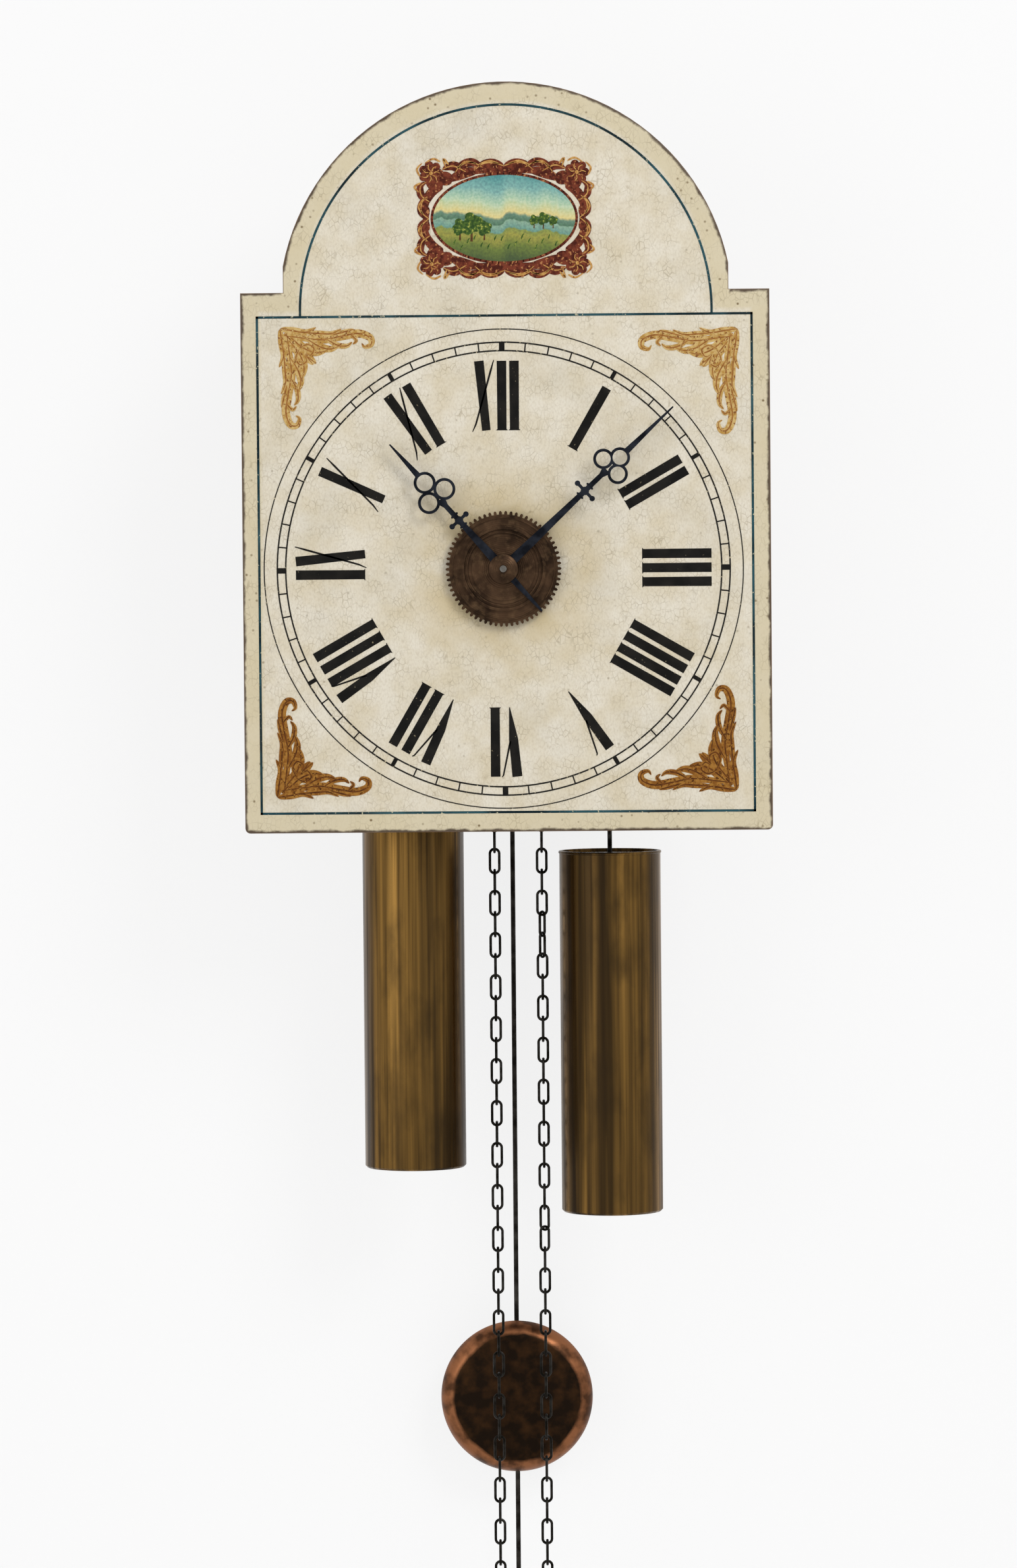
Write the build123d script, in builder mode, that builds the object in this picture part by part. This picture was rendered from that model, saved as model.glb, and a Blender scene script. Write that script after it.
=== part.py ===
from build123d import *
import os
from math import acos, atan2, cos, degrees, hypot, pi, radians, sin, sqrt

# Shield clock: a painted wooden dial board on a small wooden case with two weight-driven trains.
# Millimetres. +Z is up, the dial looks to -Y and the wall stands at +Y.
# The origin is the middle of the hanging eye. Train heights are measured from the hand arbor.

os.makedirs("parts", exist_ok=True)

# Heights and depths of the case
ARBOR_Z = -98.0
CASE_HALF_WIDTH = 76.0
CASE_TOP = ARBOR_Z + 80.0
CASE_BOTTOM = ARBOR_Z - 82.0
BOARD_THICKNESS = 12.0
CEILING = CASE_TOP - BOARD_THICKNESS
FLOOR = CASE_BOTTOM + BOARD_THICKNESS
PLATE_HALF_WIDTH = 69.7
PLATE_THICKNESS = 8.0
CASE_BACK = -1.0
COVER_THICKNESS = 4.0
SHIELD_BACK = -118.0
FRONT_PLATE_BACK = -92.0
FRONT_PLATE_FRONT = FRONT_PLATE_BACK - PLATE_THICKNESS
BACK_PLATE_BACK = -34.0
BACK_PLATE_FRONT = BACK_PLATE_BACK - PLATE_THICKNESS
END_PLAY = 0.5
RUNNING_GAP = 0.05

# Dial shield
SHIELD_WIDTH = 250.0
SHIELD_THICKNESS = 9.0
SHIELD_FRONT = SHIELD_BACK - SHIELD_THICKNESS
SHIELD_SHIFT = 1.5
SHIELD_FOOT = ARBOR_Z - 124.4
SHIELD_SHOULDER = ARBOR_Z + 131.3
ARCH_RADIUS = 107.3
ARCH_HALF_WIDTH = 105.2
ARCH_X = 2.0
ARCH_CENTRE = ARBOR_Z + 122.6
SHIELD_HOLE = 6.5
CORNER_WEAR = 2.5

# Chains and weights
CHAIN_Y = -67.0
LINK_PITCH = 10.2
LINK_WIRE = 0.65
LINK_HALF_WIDTH = 2.9
LINK_SLACK = 0.2
WRAP_SLACK = 0.25
FREE_LINKS = 46
STRIKE_X = -26.2
GOING_X = 32.8
STRIKE_WRAP = 6
GOING_WRAP = 5
STRIKE_WEIGHT_LINKS = 8
GOING_WEIGHT_LINKS = 10
WEIGHT_RADIUS = 24.5
WEIGHT_LENGTH = 175.0
WEIGHT_WALL = 2.4
EYE_RADIUS = 4.4
EYE_WIRE = 1.1

# Motion work and trains: modules and centre distances
HAND_GEAR_DISTANCE = 40.5
GREAT_Z = -sqrt(HAND_GEAR_DISTANCE**2 - GOING_X**2)
GREAT_MODULE = 0.7
SECOND_MODULE = 0.6
FLY_MODULE = 0.5
GOING_TEETH = 80
SECOND_TEETH = 80
STRIKE_TEETH = 78
LOCKING_TEETH = 64
WARNING_TEETH = 56
PINION_PINS = 6
ESCAPE_TEETH = 30
ESCAPE_RADIUS = 20.0
ESCAPE_AT = (1.5, 17.0)
ANCHOR_AT = (1.5, 51.0)
HAND_AT = (0.0, 0.0)
GOING_AT = (GOING_X, GREAT_Z)
STRIKE_AT = (STRIKE_X, GREAT_Z)
HAMMER_AT = (-62.0, -1.0)
LOCKING_LEVER_AT = (-53.0, 27.0)
LIFTING_LEVER_AT = (-12.0, 61.0)
DRIVE_TEETH = 54
CANNON_TEETH = 27
LEAF_TEETH = 9
HOUR_TEETH = 54
COUNT_MODULE = 0.8

# Depths of the wheels, each given at its back face
GREAT_WHEEL_Y = -73.2
GREAT_WHEEL_THICKNESS = 2.0
RATCHET_Y = -71.0
UPPER_WHEEL_Y = -82.2
UPPER_WHEEL_THICKNESS = 1.8
WARNING_WHEEL_Y = -58.5
WARNING_WHEEL_THICKNESS = 1.5
ESCAPE_WHEEL_Y = -48.5
ESCAPE_WHEEL_THICKNESS = 1.5
DRIVE_WHEEL_Y = -101.4
HOUR_WHEEL_Y = -107.4
COUNT_WHEEL_Y = -104.0
HAND_WHEEL_THICKNESS = 1.8

# Pendulum
ROD_Y = -14.0
ROD_RADIUS = 1.15
ROD_FOOT = ARBOR_Z - 512.0
BOB_RADIUS = 37.4
BOB_Z = ARBOR_Z - 408.0
BOB_FRONT = ROD_Y - 14.0
BOB_BACK = ROD_Y - 3.0
STUD_RADIUS = 1.2

# Hands, read at about eight minutes past ten with the hour hand slipped forward as in daily use
MINUTE_ANGLE = 46.8
HOUR_ANGLE = -42.0
POST_RADIUS = 1.6
CANNON_PIPE_RADIUS = 2.6
HOUR_PIPE_RADIUS = 3.8
ALARM_RADIUS = 27.35
ALARM_TEETH = 66
ALARM_Y = -130.0
HOUR_HAND_Y = -133.0
MINUTE_HAND_Y = -136.2
HAND_THICKNESS = 1.2
NUT_Y = -138.2


def height(z):
    """Height in the clock's frame of a point z above the hand arbor."""
    return ARBOR_Z + z


def facing(x, y, z):
    """Plane that looks to the front, with x to the right and y up as seen by a reader of the dial."""
    return Plane(origin=(x, y, height(z)), x_dir=(1, 0, 0), z_dir=(0, -1, 0))


def hand_plane(angle, y):
    """Front-facing plane on the hand arbor whose y axis points along a hand at this clock angle."""
    turn = radians(angle)
    return Plane(origin=(0, y, ARBOR_Z), x_dir=(cos(turn), 0, -sin(turn)), z_dir=(0, -1, 0))


def bearing(start, end):
    """Angle in radians of the line from one arbor to another, as seen from the front."""
    return atan2(end[1] - start[1], end[0] - start[0])


def beyond(start, distance, angle):
    """Arbor at a distance and an angle in degrees from another one."""
    return (start[0] + distance * cos(radians(angle)), start[1] + distance * sin(radians(angle)))


def meeting(first, first_distance, second, second_distance):
    """Arbor at given distances from two others, on the right of the line from the first to the second."""
    gap = hypot(second[0] - first[0], second[1] - first[1])
    turn = acos((first_distance**2 + gap**2 - second_distance**2) / (2 * first_distance * gap))
    return beyond(first, first_distance, degrees(bearing(first, second) - turn))


def toothed_rim(teeth, pitch_radius, addendum, dedendum, tooth, tip, phase):
    """Points of a wheel's outline: each tooth has straight roots and flanks that lean in to a narrow tip."""
    flank = ((-dedendum, tooth), (0, tooth), (addendum / 2, 0.8 * tooth), (addendum, tip))
    points = []
    for number in range(teeth):
        middle = phase + 2 * pi * number / teeth
        for side, rows in ((-1, flank), (1, flank[::-1])):
            for rise, width in rows:
                radius = pitch_radius + rise
                angle = middle + side * width / 2 / radius
                points.append((radius * cos(angle), radius * sin(angle)))
    return points


def rod(plane, radius, length):
    """Round rod along the normal of a plane, for use inside a part."""
    with BuildSketch(plane) as section:
        Circle(radius)
    extrude(section.sketch, amount=length)


def bore(plane, radius, length):
    """Round hole along the normal of a plane, for use inside a part."""
    with BuildSketch(plane) as section:
        Circle(radius)
    extrude(section.sketch, amount=length, mode=Mode.SUBTRACT)


def blank(plane, outline, thickness):
    """Flat plate with the given outline, for use inside a part."""
    with BuildSketch(plane) as section:
        with BuildLine():
            Polyline(*outline, close=True)
        make_face()
    extrude(section.sketch, amount=thickness)


def windows(plane, outer, inner, spokes, spoke_width, thickness):
    """Openings between the spokes of a wheel, for use inside a part."""
    with BuildSketch(plane) as openings:
        Circle(outer)
        Circle(inner, mode=Mode.SUBTRACT)
        with PolarLocations(0, spokes // 2, angular_range=180):
            Rectangle(2.2 * outer, spoke_width, mode=Mode.SUBTRACT)
    extrude(openings.sketch, amount=thickness, mode=Mode.SUBTRACT)


def lantern_wheel(at, y, teeth, module, phase, thickness, hole, spokes):
    """Brass wheel whose teeth mesh with the round pins of a lantern pinion, for use inside a part."""
    pitch_radius = module * teeth / 2
    plane = facing(at[0], y, at[1])
    outline = toothed_rim(teeth, pitch_radius, 0.95 * module, 0.9 * module, 1.4 * module, 0.4 * module, phase)
    blank(plane, outline, thickness)
    bore(plane, hole, thickness)
    if spokes:
        windows(plane, pitch_radius - 4.5 * module, 5.0, spokes, 2.6, thickness)


def lantern_pins(at, y, wheel_thickness, module, phase):
    """Pins and shrouds of a lantern pinion around the wheel that it meshes with."""
    radius = module * PINION_PINS / 2
    pin = 0.65 * module
    shroud = radius + pin + 0.4
    for start in (y + 2.0, y - wheel_thickness - 1.0):
        rod(facing(at[0], start, at[1]), shroud, 1.0)
    with BuildSketch(facing(at[0], y + 1.0, at[1])) as pins:
        with PolarLocations(radius, PINION_PINS, start_angle=degrees(phase)):
            Circle(pin)
    extrude(pins.sketch, amount=wheel_thickness + 2.0)


def pivoted_arbor(at, radius, pivot):
    """Arbor between the plates with a collar and a thinner pivot at each end, for use inside a part."""
    back_shoulder = BACK_PLATE_FRONT - END_PLAY
    front_shoulder = FRONT_PLATE_BACK + END_PLAY
    back_tip = BACK_PLATE_BACK - END_PLAY
    front_tip = FRONT_PLATE_FRONT + END_PLAY
    rod(facing(at[0], back_shoulder, at[1]), radius, back_shoulder - front_shoulder)
    rod(facing(at[0], back_shoulder, at[1]), radius + 0.8, COLLAR)
    rod(facing(at[0], front_shoulder + COLLAR, at[1]), radius + 0.8, COLLAR)
    rod(facing(at[0], back_tip, at[1]), pivot, back_tip - front_tip)


# Arbor positions that follow from the wheels
second_distance = GREAT_MODULE * (GOING_TEETH + PINION_PINS) / 2
escape_distance = SECOND_MODULE * (SECOND_TEETH + PINION_PINS) / 2
SECOND_AT = meeting(GOING_AT, second_distance, ESCAPE_AT, escape_distance)
LOCKING_AT = beyond(STRIKE_AT, GREAT_MODULE * (STRIKE_TEETH + PINION_PINS) / 2, 105)
WARNING_AT = beyond(LOCKING_AT, SECOND_MODULE * (LOCKING_TEETH + PINION_PINS) / 2, 53)
FLY_AT = beyond(WARNING_AT, FLY_MODULE * (WARNING_TEETH + PINION_PINS) / 2, 121)
COUNT_AT = beyond(STRIKE_AT, COUNT_MODULE * (HOUR_TEETH + LEAF_TEETH) / 2, 118)
PIVOT = 0.8
COLLAR = 3.0
GREAT_ARBOR = 1.5
UPPER_ARBOR = 1.05
SMALL_ARBOR = 0.9

# Bushed arbors: position and bore of the bush in the front plate and in the back plate
BUSH_RADIUS = 3.2
plain_bore = PIVOT + RUNNING_GAP
through_bore = GREAT_ARBOR + RUNNING_GAP
anchor_bore = UPPER_ARBOR + RUNNING_GAP
FRONT_BORES = [
    (GOING_AT, through_bore),
    (STRIKE_AT, through_bore),
    (SECOND_AT, plain_bore),
    (ESCAPE_AT, plain_bore),
    (LOCKING_AT, plain_bore),
    (WARNING_AT, plain_bore),
    (FLY_AT, plain_bore),
    (HAMMER_AT, plain_bore),
    (ANCHOR_AT, plain_bore),
    (LOCKING_LEVER_AT, through_bore),
    (LIFTING_LEVER_AT, through_bore),
]
BACK_BORES = [(at, anchor_bore if at == ANCHOR_AT else plain_bore) for at, _ in FRONT_BORES]

# Fixing places shared by the boards and what goes through them
NAIL_RADIUS = 1.0
NAIL_LENGTH = 20.0
LOOP_THICKNESS = 2.0
LOOP_NAIL_X = 9.0
LOOP_NAIL_LENGTH = 14.0
loop_nail_z = CASE_TOP - BOARD_THICKNESS / 2
HAMMER_ARM_Y = -78.2
NAIL_PLACES = [
    (x, y)
    for x in (-50, 50)
    for y in (FRONT_PLATE_BACK - PLATE_THICKNESS / 2, BACK_PLATE_BACK - PLATE_THICKNESS / 2)
]
PEG_RADIUS = 2.5
PEG_PLACES = [(x, SHIELD_BACK + 7) for x in (-45, 45)]
BATTEN_DEPTH = 14.0
BATTEN_HEIGHT = 12.0
DOOR_PIN_X = 72.8
DOOR_PIN_Y = -10.0
DOOR_PIN_RADIUS = 0.9
DOOR_GAP = 0.4
BELL_AT = (-51.0, -70.0)
BELL_RADIUS = 30.0
BELL_RIM = height(98)
BELL_CROWN = height(122)
POST_OF_BELL = 2.5

# Dial shield: a flat board with square shoulders under a round arch
arch_spring = ARCH_CENTRE + sqrt(ARCH_RADIUS**2 - ARCH_HALF_WIDTH**2)
shield_left = SHIELD_SHIFT - SHIELD_WIDTH / 2
shield_right = SHIELD_SHIFT + SHIELD_WIDTH / 2
with BuildPart() as dial_shield:
    with BuildSketch(Plane(origin=(0, SHIELD_BACK, 0), x_dir=(1, 0, 0), z_dir=(0, -1, 0))):
        with BuildLine():
            Polyline(
                (ARCH_X + ARCH_HALF_WIDTH, arch_spring),
                (ARCH_X + ARCH_HALF_WIDTH, SHIELD_SHOULDER),
                (shield_right, SHIELD_SHOULDER),
                (shield_right, SHIELD_FOOT),
                (shield_left, SHIELD_FOOT),
                (shield_left, SHIELD_SHOULDER),
                (ARCH_X - ARCH_HALF_WIDTH, SHIELD_SHOULDER),
                (ARCH_X - ARCH_HALF_WIDTH, arch_spring),
            )
            ThreePointArc(
                (ARCH_X - ARCH_HALF_WIDTH, arch_spring),
                (ARCH_X, ARCH_CENTRE + ARCH_RADIUS),
                (ARCH_X + ARCH_HALF_WIDTH, arch_spring),
            )
        make_face()
        with Locations((0, ARBOR_Z)):
            Circle(SHIELD_HOLE, mode=Mode.SUBTRACT)
    extrude(amount=SHIELD_THICKNESS)
    foot_corners = dial_shield.edges().filter_by(Axis.Y).group_by(Axis.Z)[0]
    fillet(foot_corners, radius=CORNER_WEAR)
    rim = dial_shield.faces().sort_by(Axis.Y)[0].outer_wire().edges()
    fillet(rim, radius=0.9)
dial_shield.part.label = "dial_shield"
export_step(dial_shield.part, "parts/dial_shield.step")

# Shield battens: two bars glued behind the shield, above and below the case
BATTEN_FEET = (CASE_TOP, CASE_BOTTOM - BATTEN_HEIGHT)
with BuildPart() as shield_battens:
    for foot in BATTEN_FEET:
        with BuildSketch(Plane.XY.offset(foot)):
            with Locations((0, SHIELD_BACK + BATTEN_DEPTH / 2)):
                Rectangle(150, BATTEN_DEPTH)
                peg_row = PEG_PLACES[0][1] - SHIELD_BACK - BATTEN_DEPTH / 2
                with Locations(*[(x, peg_row) for x, _ in PEG_PLACES]):
                    Circle(PEG_RADIUS, mode=Mode.SUBTRACT)
        extrude(amount=BATTEN_HEIGHT)
shield_battens.part.label = "shield_battens"
export_step(shield_battens.part, "parts/shield_battens.step")

# Shield pegs: four wooden pegs through the battens into the case
PEG_FEET = (CASE_TOP - 10, CASE_BOTTOM - BATTEN_HEIGHT - 1)
PEG_LENGTH = BATTEN_HEIGHT + 11
with BuildPart() as shield_pegs:
    for foot in PEG_FEET:
        with BuildSketch(Plane.XY.offset(foot)):
            with Locations(*PEG_PLACES):
                Circle(PEG_RADIUS)
        extrude(amount=PEG_LENGTH)
shield_pegs.part.label = "shield_pegs"
export_step(shield_pegs.part, "parts/shield_pegs.step")


def case_board(foot):
    """Top or bottom board of the case, drilled for the nails, pegs and door pins."""
    depth = CASE_BACK - SHIELD_BACK
    with BuildSketch(Plane.XY.offset(foot)) as board:
        with Locations((0, SHIELD_BACK + depth / 2)):
            Rectangle(2 * CASE_HALF_WIDTH, depth)
        with Locations(*NAIL_PLACES):
            Circle(NAIL_RADIUS, mode=Mode.SUBTRACT)
        with Locations(*PEG_PLACES):
            Circle(PEG_RADIUS, mode=Mode.SUBTRACT)
        with Locations((DOOR_PIN_X, DOOR_PIN_Y), (-DOOR_PIN_X, DOOR_PIN_Y)):
            Circle(DOOR_PIN_RADIUS, mode=Mode.SUBTRACT)
    extrude(board.sketch, amount=BOARD_THICKNESS)


# Top board: also slotted for the hammer and drilled for the bell's stand and the loop's nails
with BuildPart() as top_board:
    case_board(CEILING)
    with BuildSketch(Plane.XY.offset(CEILING)):
        with Locations((HAMMER_AT[0] - 1.0, HAMMER_ARM_Y)):
            Rectangle(17, 5)
        with Locations(BELL_AT):
            Circle(POST_OF_BELL)
    extrude(amount=BOARD_THICKNESS, mode=Mode.SUBTRACT)
    for x in (-LOOP_NAIL_X, LOOP_NAIL_X):
        nail_plane = Plane(origin=(x, CASE_BACK, loop_nail_z), z_dir=(0, -1, 0))
        bore(nail_plane, NAIL_RADIUS, LOOP_NAIL_LENGTH - LOOP_THICKNESS)
top_board.part.label = "top_board"
export_step(top_board.part, "parts/top_board.step")

# Bottom board: also drilled for four runs of chain and slotted for the pendulum rod
strike_radius = LINK_PITCH / 2 / sin(pi / 2 / STRIKE_WRAP)
going_radius = LINK_PITCH / 2 / sin(pi / 2 / GOING_WRAP)
CHAIN_PLACES = [
    (STRIKE_X - strike_radius, CHAIN_Y),
    (STRIKE_X + strike_radius, CHAIN_Y),
    (GOING_X - going_radius, CHAIN_Y),
    (GOING_X + going_radius, CHAIN_Y),
]
CHAIN_HOLE = 5.0
ROD_SLOT = 30.0
with BuildPart() as bottom_board:
    case_board(CASE_BOTTOM)
    with BuildSketch(Plane.XY.offset(CASE_BOTTOM)):
        with Locations(*CHAIN_PLACES):
            Circle(CHAIN_HOLE)
        with Locations((ANCHOR_AT[0], ROD_Y)):
            SlotOverall(ROD_SLOT, 8)
    extrude(amount=BOARD_THICKNESS, mode=Mode.SUBTRACT)
bottom_board.part.label = "bottom_board"
export_step(bottom_board.part, "parts/bottom_board.step")


def movement_plate(back, places):
    """Wooden plate between the boards, bored for its bushes and for the nails in its edges."""
    nail_y = back - PLATE_THICKNESS / 2
    reach = NAIL_LENGTH - BOARD_THICKNESS
    with BuildSketch(Plane(origin=(0, back, 0), x_dir=(1, 0, 0), z_dir=(0, -1, 0))) as plate:
        with Locations((0, (CEILING + FLOOR) / 2)):
            Rectangle(2 * PLATE_HALF_WIDTH, CEILING - FLOOR)
        with Locations(*[(at[0], height(at[1])) for at, _ in places]):
            Circle(BUSH_RADIUS, mode=Mode.SUBTRACT)
    extrude(plate.sketch, amount=PLATE_THICKNESS)
    for end in (FLOOR, CEILING - reach):
        for x in (-50, 50):
            bore(Plane((x, nail_y, end)), NAIL_RADIUS, reach)


# Front plate: carries the front pivots and the posts of the hands and the count wheel
with BuildPart() as front_plate:
    movement_plate(FRONT_PLATE_BACK, FRONT_BORES)
    for at in (HAND_AT, COUNT_AT):
        bore(facing(at[0], FRONT_PLATE_BACK, at[1]), POST_RADIUS, PLATE_THICKNESS)
front_plate.part.label = "front_plate"
export_step(front_plate.part, "parts/front_plate.step")

# Back plate: carries the back pivots
with BuildPart() as back_plate:
    movement_plate(BACK_PLATE_BACK, BACK_BORES)
back_plate.part.label = "back_plate"
export_step(back_plate.part, "parts/back_plate.step")

# Bushes: one brass bush for each pivot, pressed into the plates
with BuildPart() as bushes:
    for back, places in ((FRONT_PLATE_BACK, FRONT_BORES), (BACK_PLATE_BACK, BACK_BORES)):
        for at, hole in places:
            with BuildSketch(facing(at[0], back, at[1])):
                Circle(BUSH_RADIUS)
                Circle(hole, mode=Mode.SUBTRACT)
            extrude(amount=PLATE_THICKNESS)
bushes.part.label = "bushes"
export_step(bushes.part, "parts/bushes.step")

# Rear cover: thin board that closes the back between the two doors
with BuildPart() as rear_cover:
    with BuildSketch(Plane(origin=(0, CASE_BACK, 0), x_dir=(1, 0, 0), z_dir=(0, -1, 0))):
        with Locations((0, (CEILING + FLOOR) / 2)):
            Rectangle(2 * PLATE_HALF_WIDTH, CEILING - FLOOR)
    extrude(amount=COVER_THICKNESS)
    fillet(rear_cover.edges().filter_by(Axis.Z).group_by(Axis.Y)[-1], radius=0.8)
rear_cover.part.label = "rear_cover"
export_step(rear_cover.part, "parts/rear_cover.step")

# Hanging loop: iron strap on the back edge of the top board with a round eye for the wall nail
EYE_BORE = 4.0
EYE_OUTER = 9.0
LOOP_FOOT = CEILING + 1.0
LOOP_WIDTH = 26.0
with BuildPart() as hanging_loop:
    with BuildSketch(Plane(origin=(0, LOOP_THICKNESS / 2, 0), x_dir=(1, 0, 0), z_dir=(0, -1, 0))):
        Circle(EYE_OUTER)
        with BuildLine():
            Polyline(
                (-EYE_OUTER * 0.9, -3),
                (EYE_OUTER * 0.9, -3),
                (LOOP_WIDTH / 2, CASE_TOP),
                (LOOP_WIDTH / 2, LOOP_FOOT),
                (-LOOP_WIDTH / 2, LOOP_FOOT),
                (-LOOP_WIDTH / 2, CASE_TOP),
                close=True,
            )
        make_face()
        Circle(EYE_BORE, mode=Mode.SUBTRACT)
        with Locations((-LOOP_NAIL_X, loop_nail_z), (LOOP_NAIL_X, loop_nail_z)):
            Circle(NAIL_RADIUS, mode=Mode.SUBTRACT)
    extrude(amount=LOOP_THICKNESS)
hanging_loop.part.label = "hanging_loop"
export_step(hanging_loop.part, "parts/hanging_loop.step")

# Case nails: eight in the boards and two that hold the hanging loop
HEAD_RADIUS = 2.2
HEAD_THICKNESS = 0.8
with BuildPart() as case_nails:
    for surface, inward in ((CASE_TOP, -1), (CASE_BOTTOM, 1)):
        for x, y in NAIL_PLACES:
            rod(Plane((x, y, surface)), NAIL_RADIUS, inward * NAIL_LENGTH)
            rod(Plane((x, y, surface)), HEAD_RADIUS, -inward * HEAD_THICKNESS)
    for x in (-LOOP_NAIL_X, LOOP_NAIL_X):
        nail_plane = Plane(origin=(x, LOOP_THICKNESS / 2, loop_nail_z), x_dir=(1, 0, 0), z_dir=(0, -1, 0))
        rod(nail_plane, NAIL_RADIUS, LOOP_NAIL_LENGTH)
        rod(nail_plane, HEAD_RADIUS, -HEAD_THICKNESS)
case_nails.part.label = "case_nails"
export_step(case_nails.part, "parts/case_nails.step")

# Side doors: thin boards that turn on wire pins at their back edge
DOOR_INNER = PLATE_HALF_WIDTH + 0.6
DOOR_THICKNESS = 5.0
DOOR_FRONT = FRONT_PLATE_FRONT + 0.3
DOOR_BACK = -6.0
DOOR_HOLE_DEPTH = 10.0


def side_door(side):
    """Door on the left (-1) or right (+1) side, drilled top and bottom for its pins."""
    middle = side * (DOOR_INNER + DOOR_THICKNESS / 2)
    with BuildSketch(Plane.XY.offset(FLOOR + DOOR_GAP)) as panel:
        with Locations((middle, (DOOR_FRONT + DOOR_BACK) / 2)):
            RectangleRounded(DOOR_THICKNESS, DOOR_BACK - DOOR_FRONT, 0.8)
    extrude(panel.sketch, amount=CEILING - FLOOR - 2 * DOOR_GAP)
    for end in (FLOOR, CEILING - DOOR_HOLE_DEPTH):
        bore(Plane((side * DOOR_PIN_X, DOOR_PIN_Y, end)), DOOR_PIN_RADIUS + RUNNING_GAP, DOOR_HOLE_DEPTH)


with BuildPart() as left_door:
    side_door(-1)
left_door.part.label = "left_door"
export_step(left_door.part, "parts/left_door.step")
with BuildPart() as right_door:
    side_door(1)
right_door.part.label = "right_door"
export_step(right_door.part, "parts/right_door.step")

# Door hinge pins: four wires driven through the boards into the doors
with BuildPart() as door_hinge_pins:
    for start, reach in ((CASE_TOP, -(BOARD_THICKNESS + 9)), (CASE_BOTTOM, BOARD_THICKNESS + 9)):
        with BuildSketch(Plane.XY.offset(start)):
            with Locations((DOOR_PIN_X, DOOR_PIN_Y), (-DOOR_PIN_X, DOOR_PIN_Y)):
                Circle(DOOR_PIN_RADIUS)
        extrude(amount=reach)
door_hinge_pins.part.label = "door_hinge_pins"
export_step(door_hinge_pins.part, "parts/door_hinge_pins.step")

# Hand post: steel posts in the front plate, one for the hands and one for the count wheel
POST_TIP = -142.0
with BuildPart() as hand_post:
    rod(facing(0, FRONT_PLATE_BACK, 0), POST_RADIUS, FRONT_PLATE_BACK - POST_TIP)
    rod(facing(0, FRONT_PLATE_FRONT, 0), 3.5, 1.0)
    rod(facing(COUNT_AT[0], FRONT_PLATE_BACK, COUNT_AT[1]), POST_RADIUS, 14.6)
    rod(facing(COUNT_AT[0], FRONT_PLATE_FRONT, COUNT_AT[1]), 3.0, 3.8)
hand_post.part.label = "hand_post"
export_step(hand_post.part, "parts/hand_post.step")

# Hand nut: domed brass nut that keeps the hands on the post
with BuildPart() as hand_nut:
    with BuildSketch(Plane(origin=(0, NUT_Y, ARBOR_Z), x_dir=(1, 0, 0), z_dir=(0, 0, 1))):
        with BuildLine():
            Polyline((POST_RADIUS, -1.7), (POST_RADIUS, 0), (6.8, 0), (6.8, -0.5))
            ThreePointArc((6.8, -0.5), (4.6, -1.35), (POST_RADIUS, -1.7))
        make_face()
    revolve(axis=Axis((0, 0, ARBOR_Z), (0, 1, 0)))
hand_nut.part.label = "hand_nut"
export_step(hand_nut.part, "parts/hand_nut.step")

# Drive wheel: turns with slipping friction on the going arbor and drives both hand wheels
to_hands = bearing(GOING_AT, HAND_AT)
from_drive = bearing(HAND_AT, GOING_AT)
LEAF_MODULE = 2 * HAND_GEAR_DISTANCE / (HOUR_TEETH + LEAF_TEETH)
DRIVE_MODULE = 2 * HAND_GEAR_DISTANCE / (DRIVE_TEETH + CANNON_TEETH)


def plain_teeth(teeth, module, addendum, tooth, tip, phase):
    """Outline of a wheel or leaf pinion that meshes with another toothed wheel."""
    circular = pi * module
    flank = tooth * circular
    crest = tip * circular
    return toothed_rim(teeth, module * teeth / 2, addendum * module, 1.1 * module, flank, crest, phase)


drive_plane = facing(GOING_AT[0], DRIVE_WHEEL_Y, GOING_AT[1])
leaf_length = DRIVE_WHEEL_Y - HOUR_WHEEL_Y + HAND_WHEEL_THICKNESS + 0.6
with BuildPart() as drive_wheel:
    blank(drive_plane, plain_teeth(DRIVE_TEETH, DRIVE_MODULE, 0.8, 0.44, 0.2, to_hands), HAND_WHEEL_THICKNESS)
    windows(drive_plane, 22.5, 9.0, 4, 3.0, HAND_WHEEL_THICKNESS)
    leaves = plain_teeth(LEAF_TEETH, LEAF_MODULE, 0.6, 0.4, 0.15, to_hands + pi / LEAF_TEETH)
    blank(drive_plane, leaves, leaf_length)
    bore(drive_plane, GREAT_ARBOR + RUNNING_GAP, leaf_length)
drive_wheel.part.label = "drive_wheel"
export_step(drive_wheel.part, "parts/drive_wheel.step")

# Cannon wheel: carries the minute hand on its pipe, with two pins that let the strike off
LIFTING_PIN_AT = 10.0
cannon_plane = facing(0, DRIVE_WHEEL_Y, 0)
cannon_length = DRIVE_WHEEL_Y - MINUTE_HAND_Y + HAND_THICKNESS + 0.6
with BuildPart() as cannon_wheel:
    blank(
        cannon_plane,
        plain_teeth(CANNON_TEETH, DRIVE_MODULE, 0.8, 0.44, 0.2, from_drive + pi / CANNON_TEETH),
        HAND_WHEEL_THICKNESS,
    )
    rod(cannon_plane, CANNON_PIPE_RADIUS, cannon_length)
    bore(cannon_plane, POST_RADIUS + RUNNING_GAP, cannon_length)
    for side in (-1, 1):
        rod(facing(side * LIFTING_PIN_AT, DRIVE_WHEEL_Y - HAND_WHEEL_THICKNESS, 0), 0.7, 2.4)
cannon_wheel.part.label = "cannon_wheel"
export_step(cannon_wheel.part, "parts/cannon_wheel.step")

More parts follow.
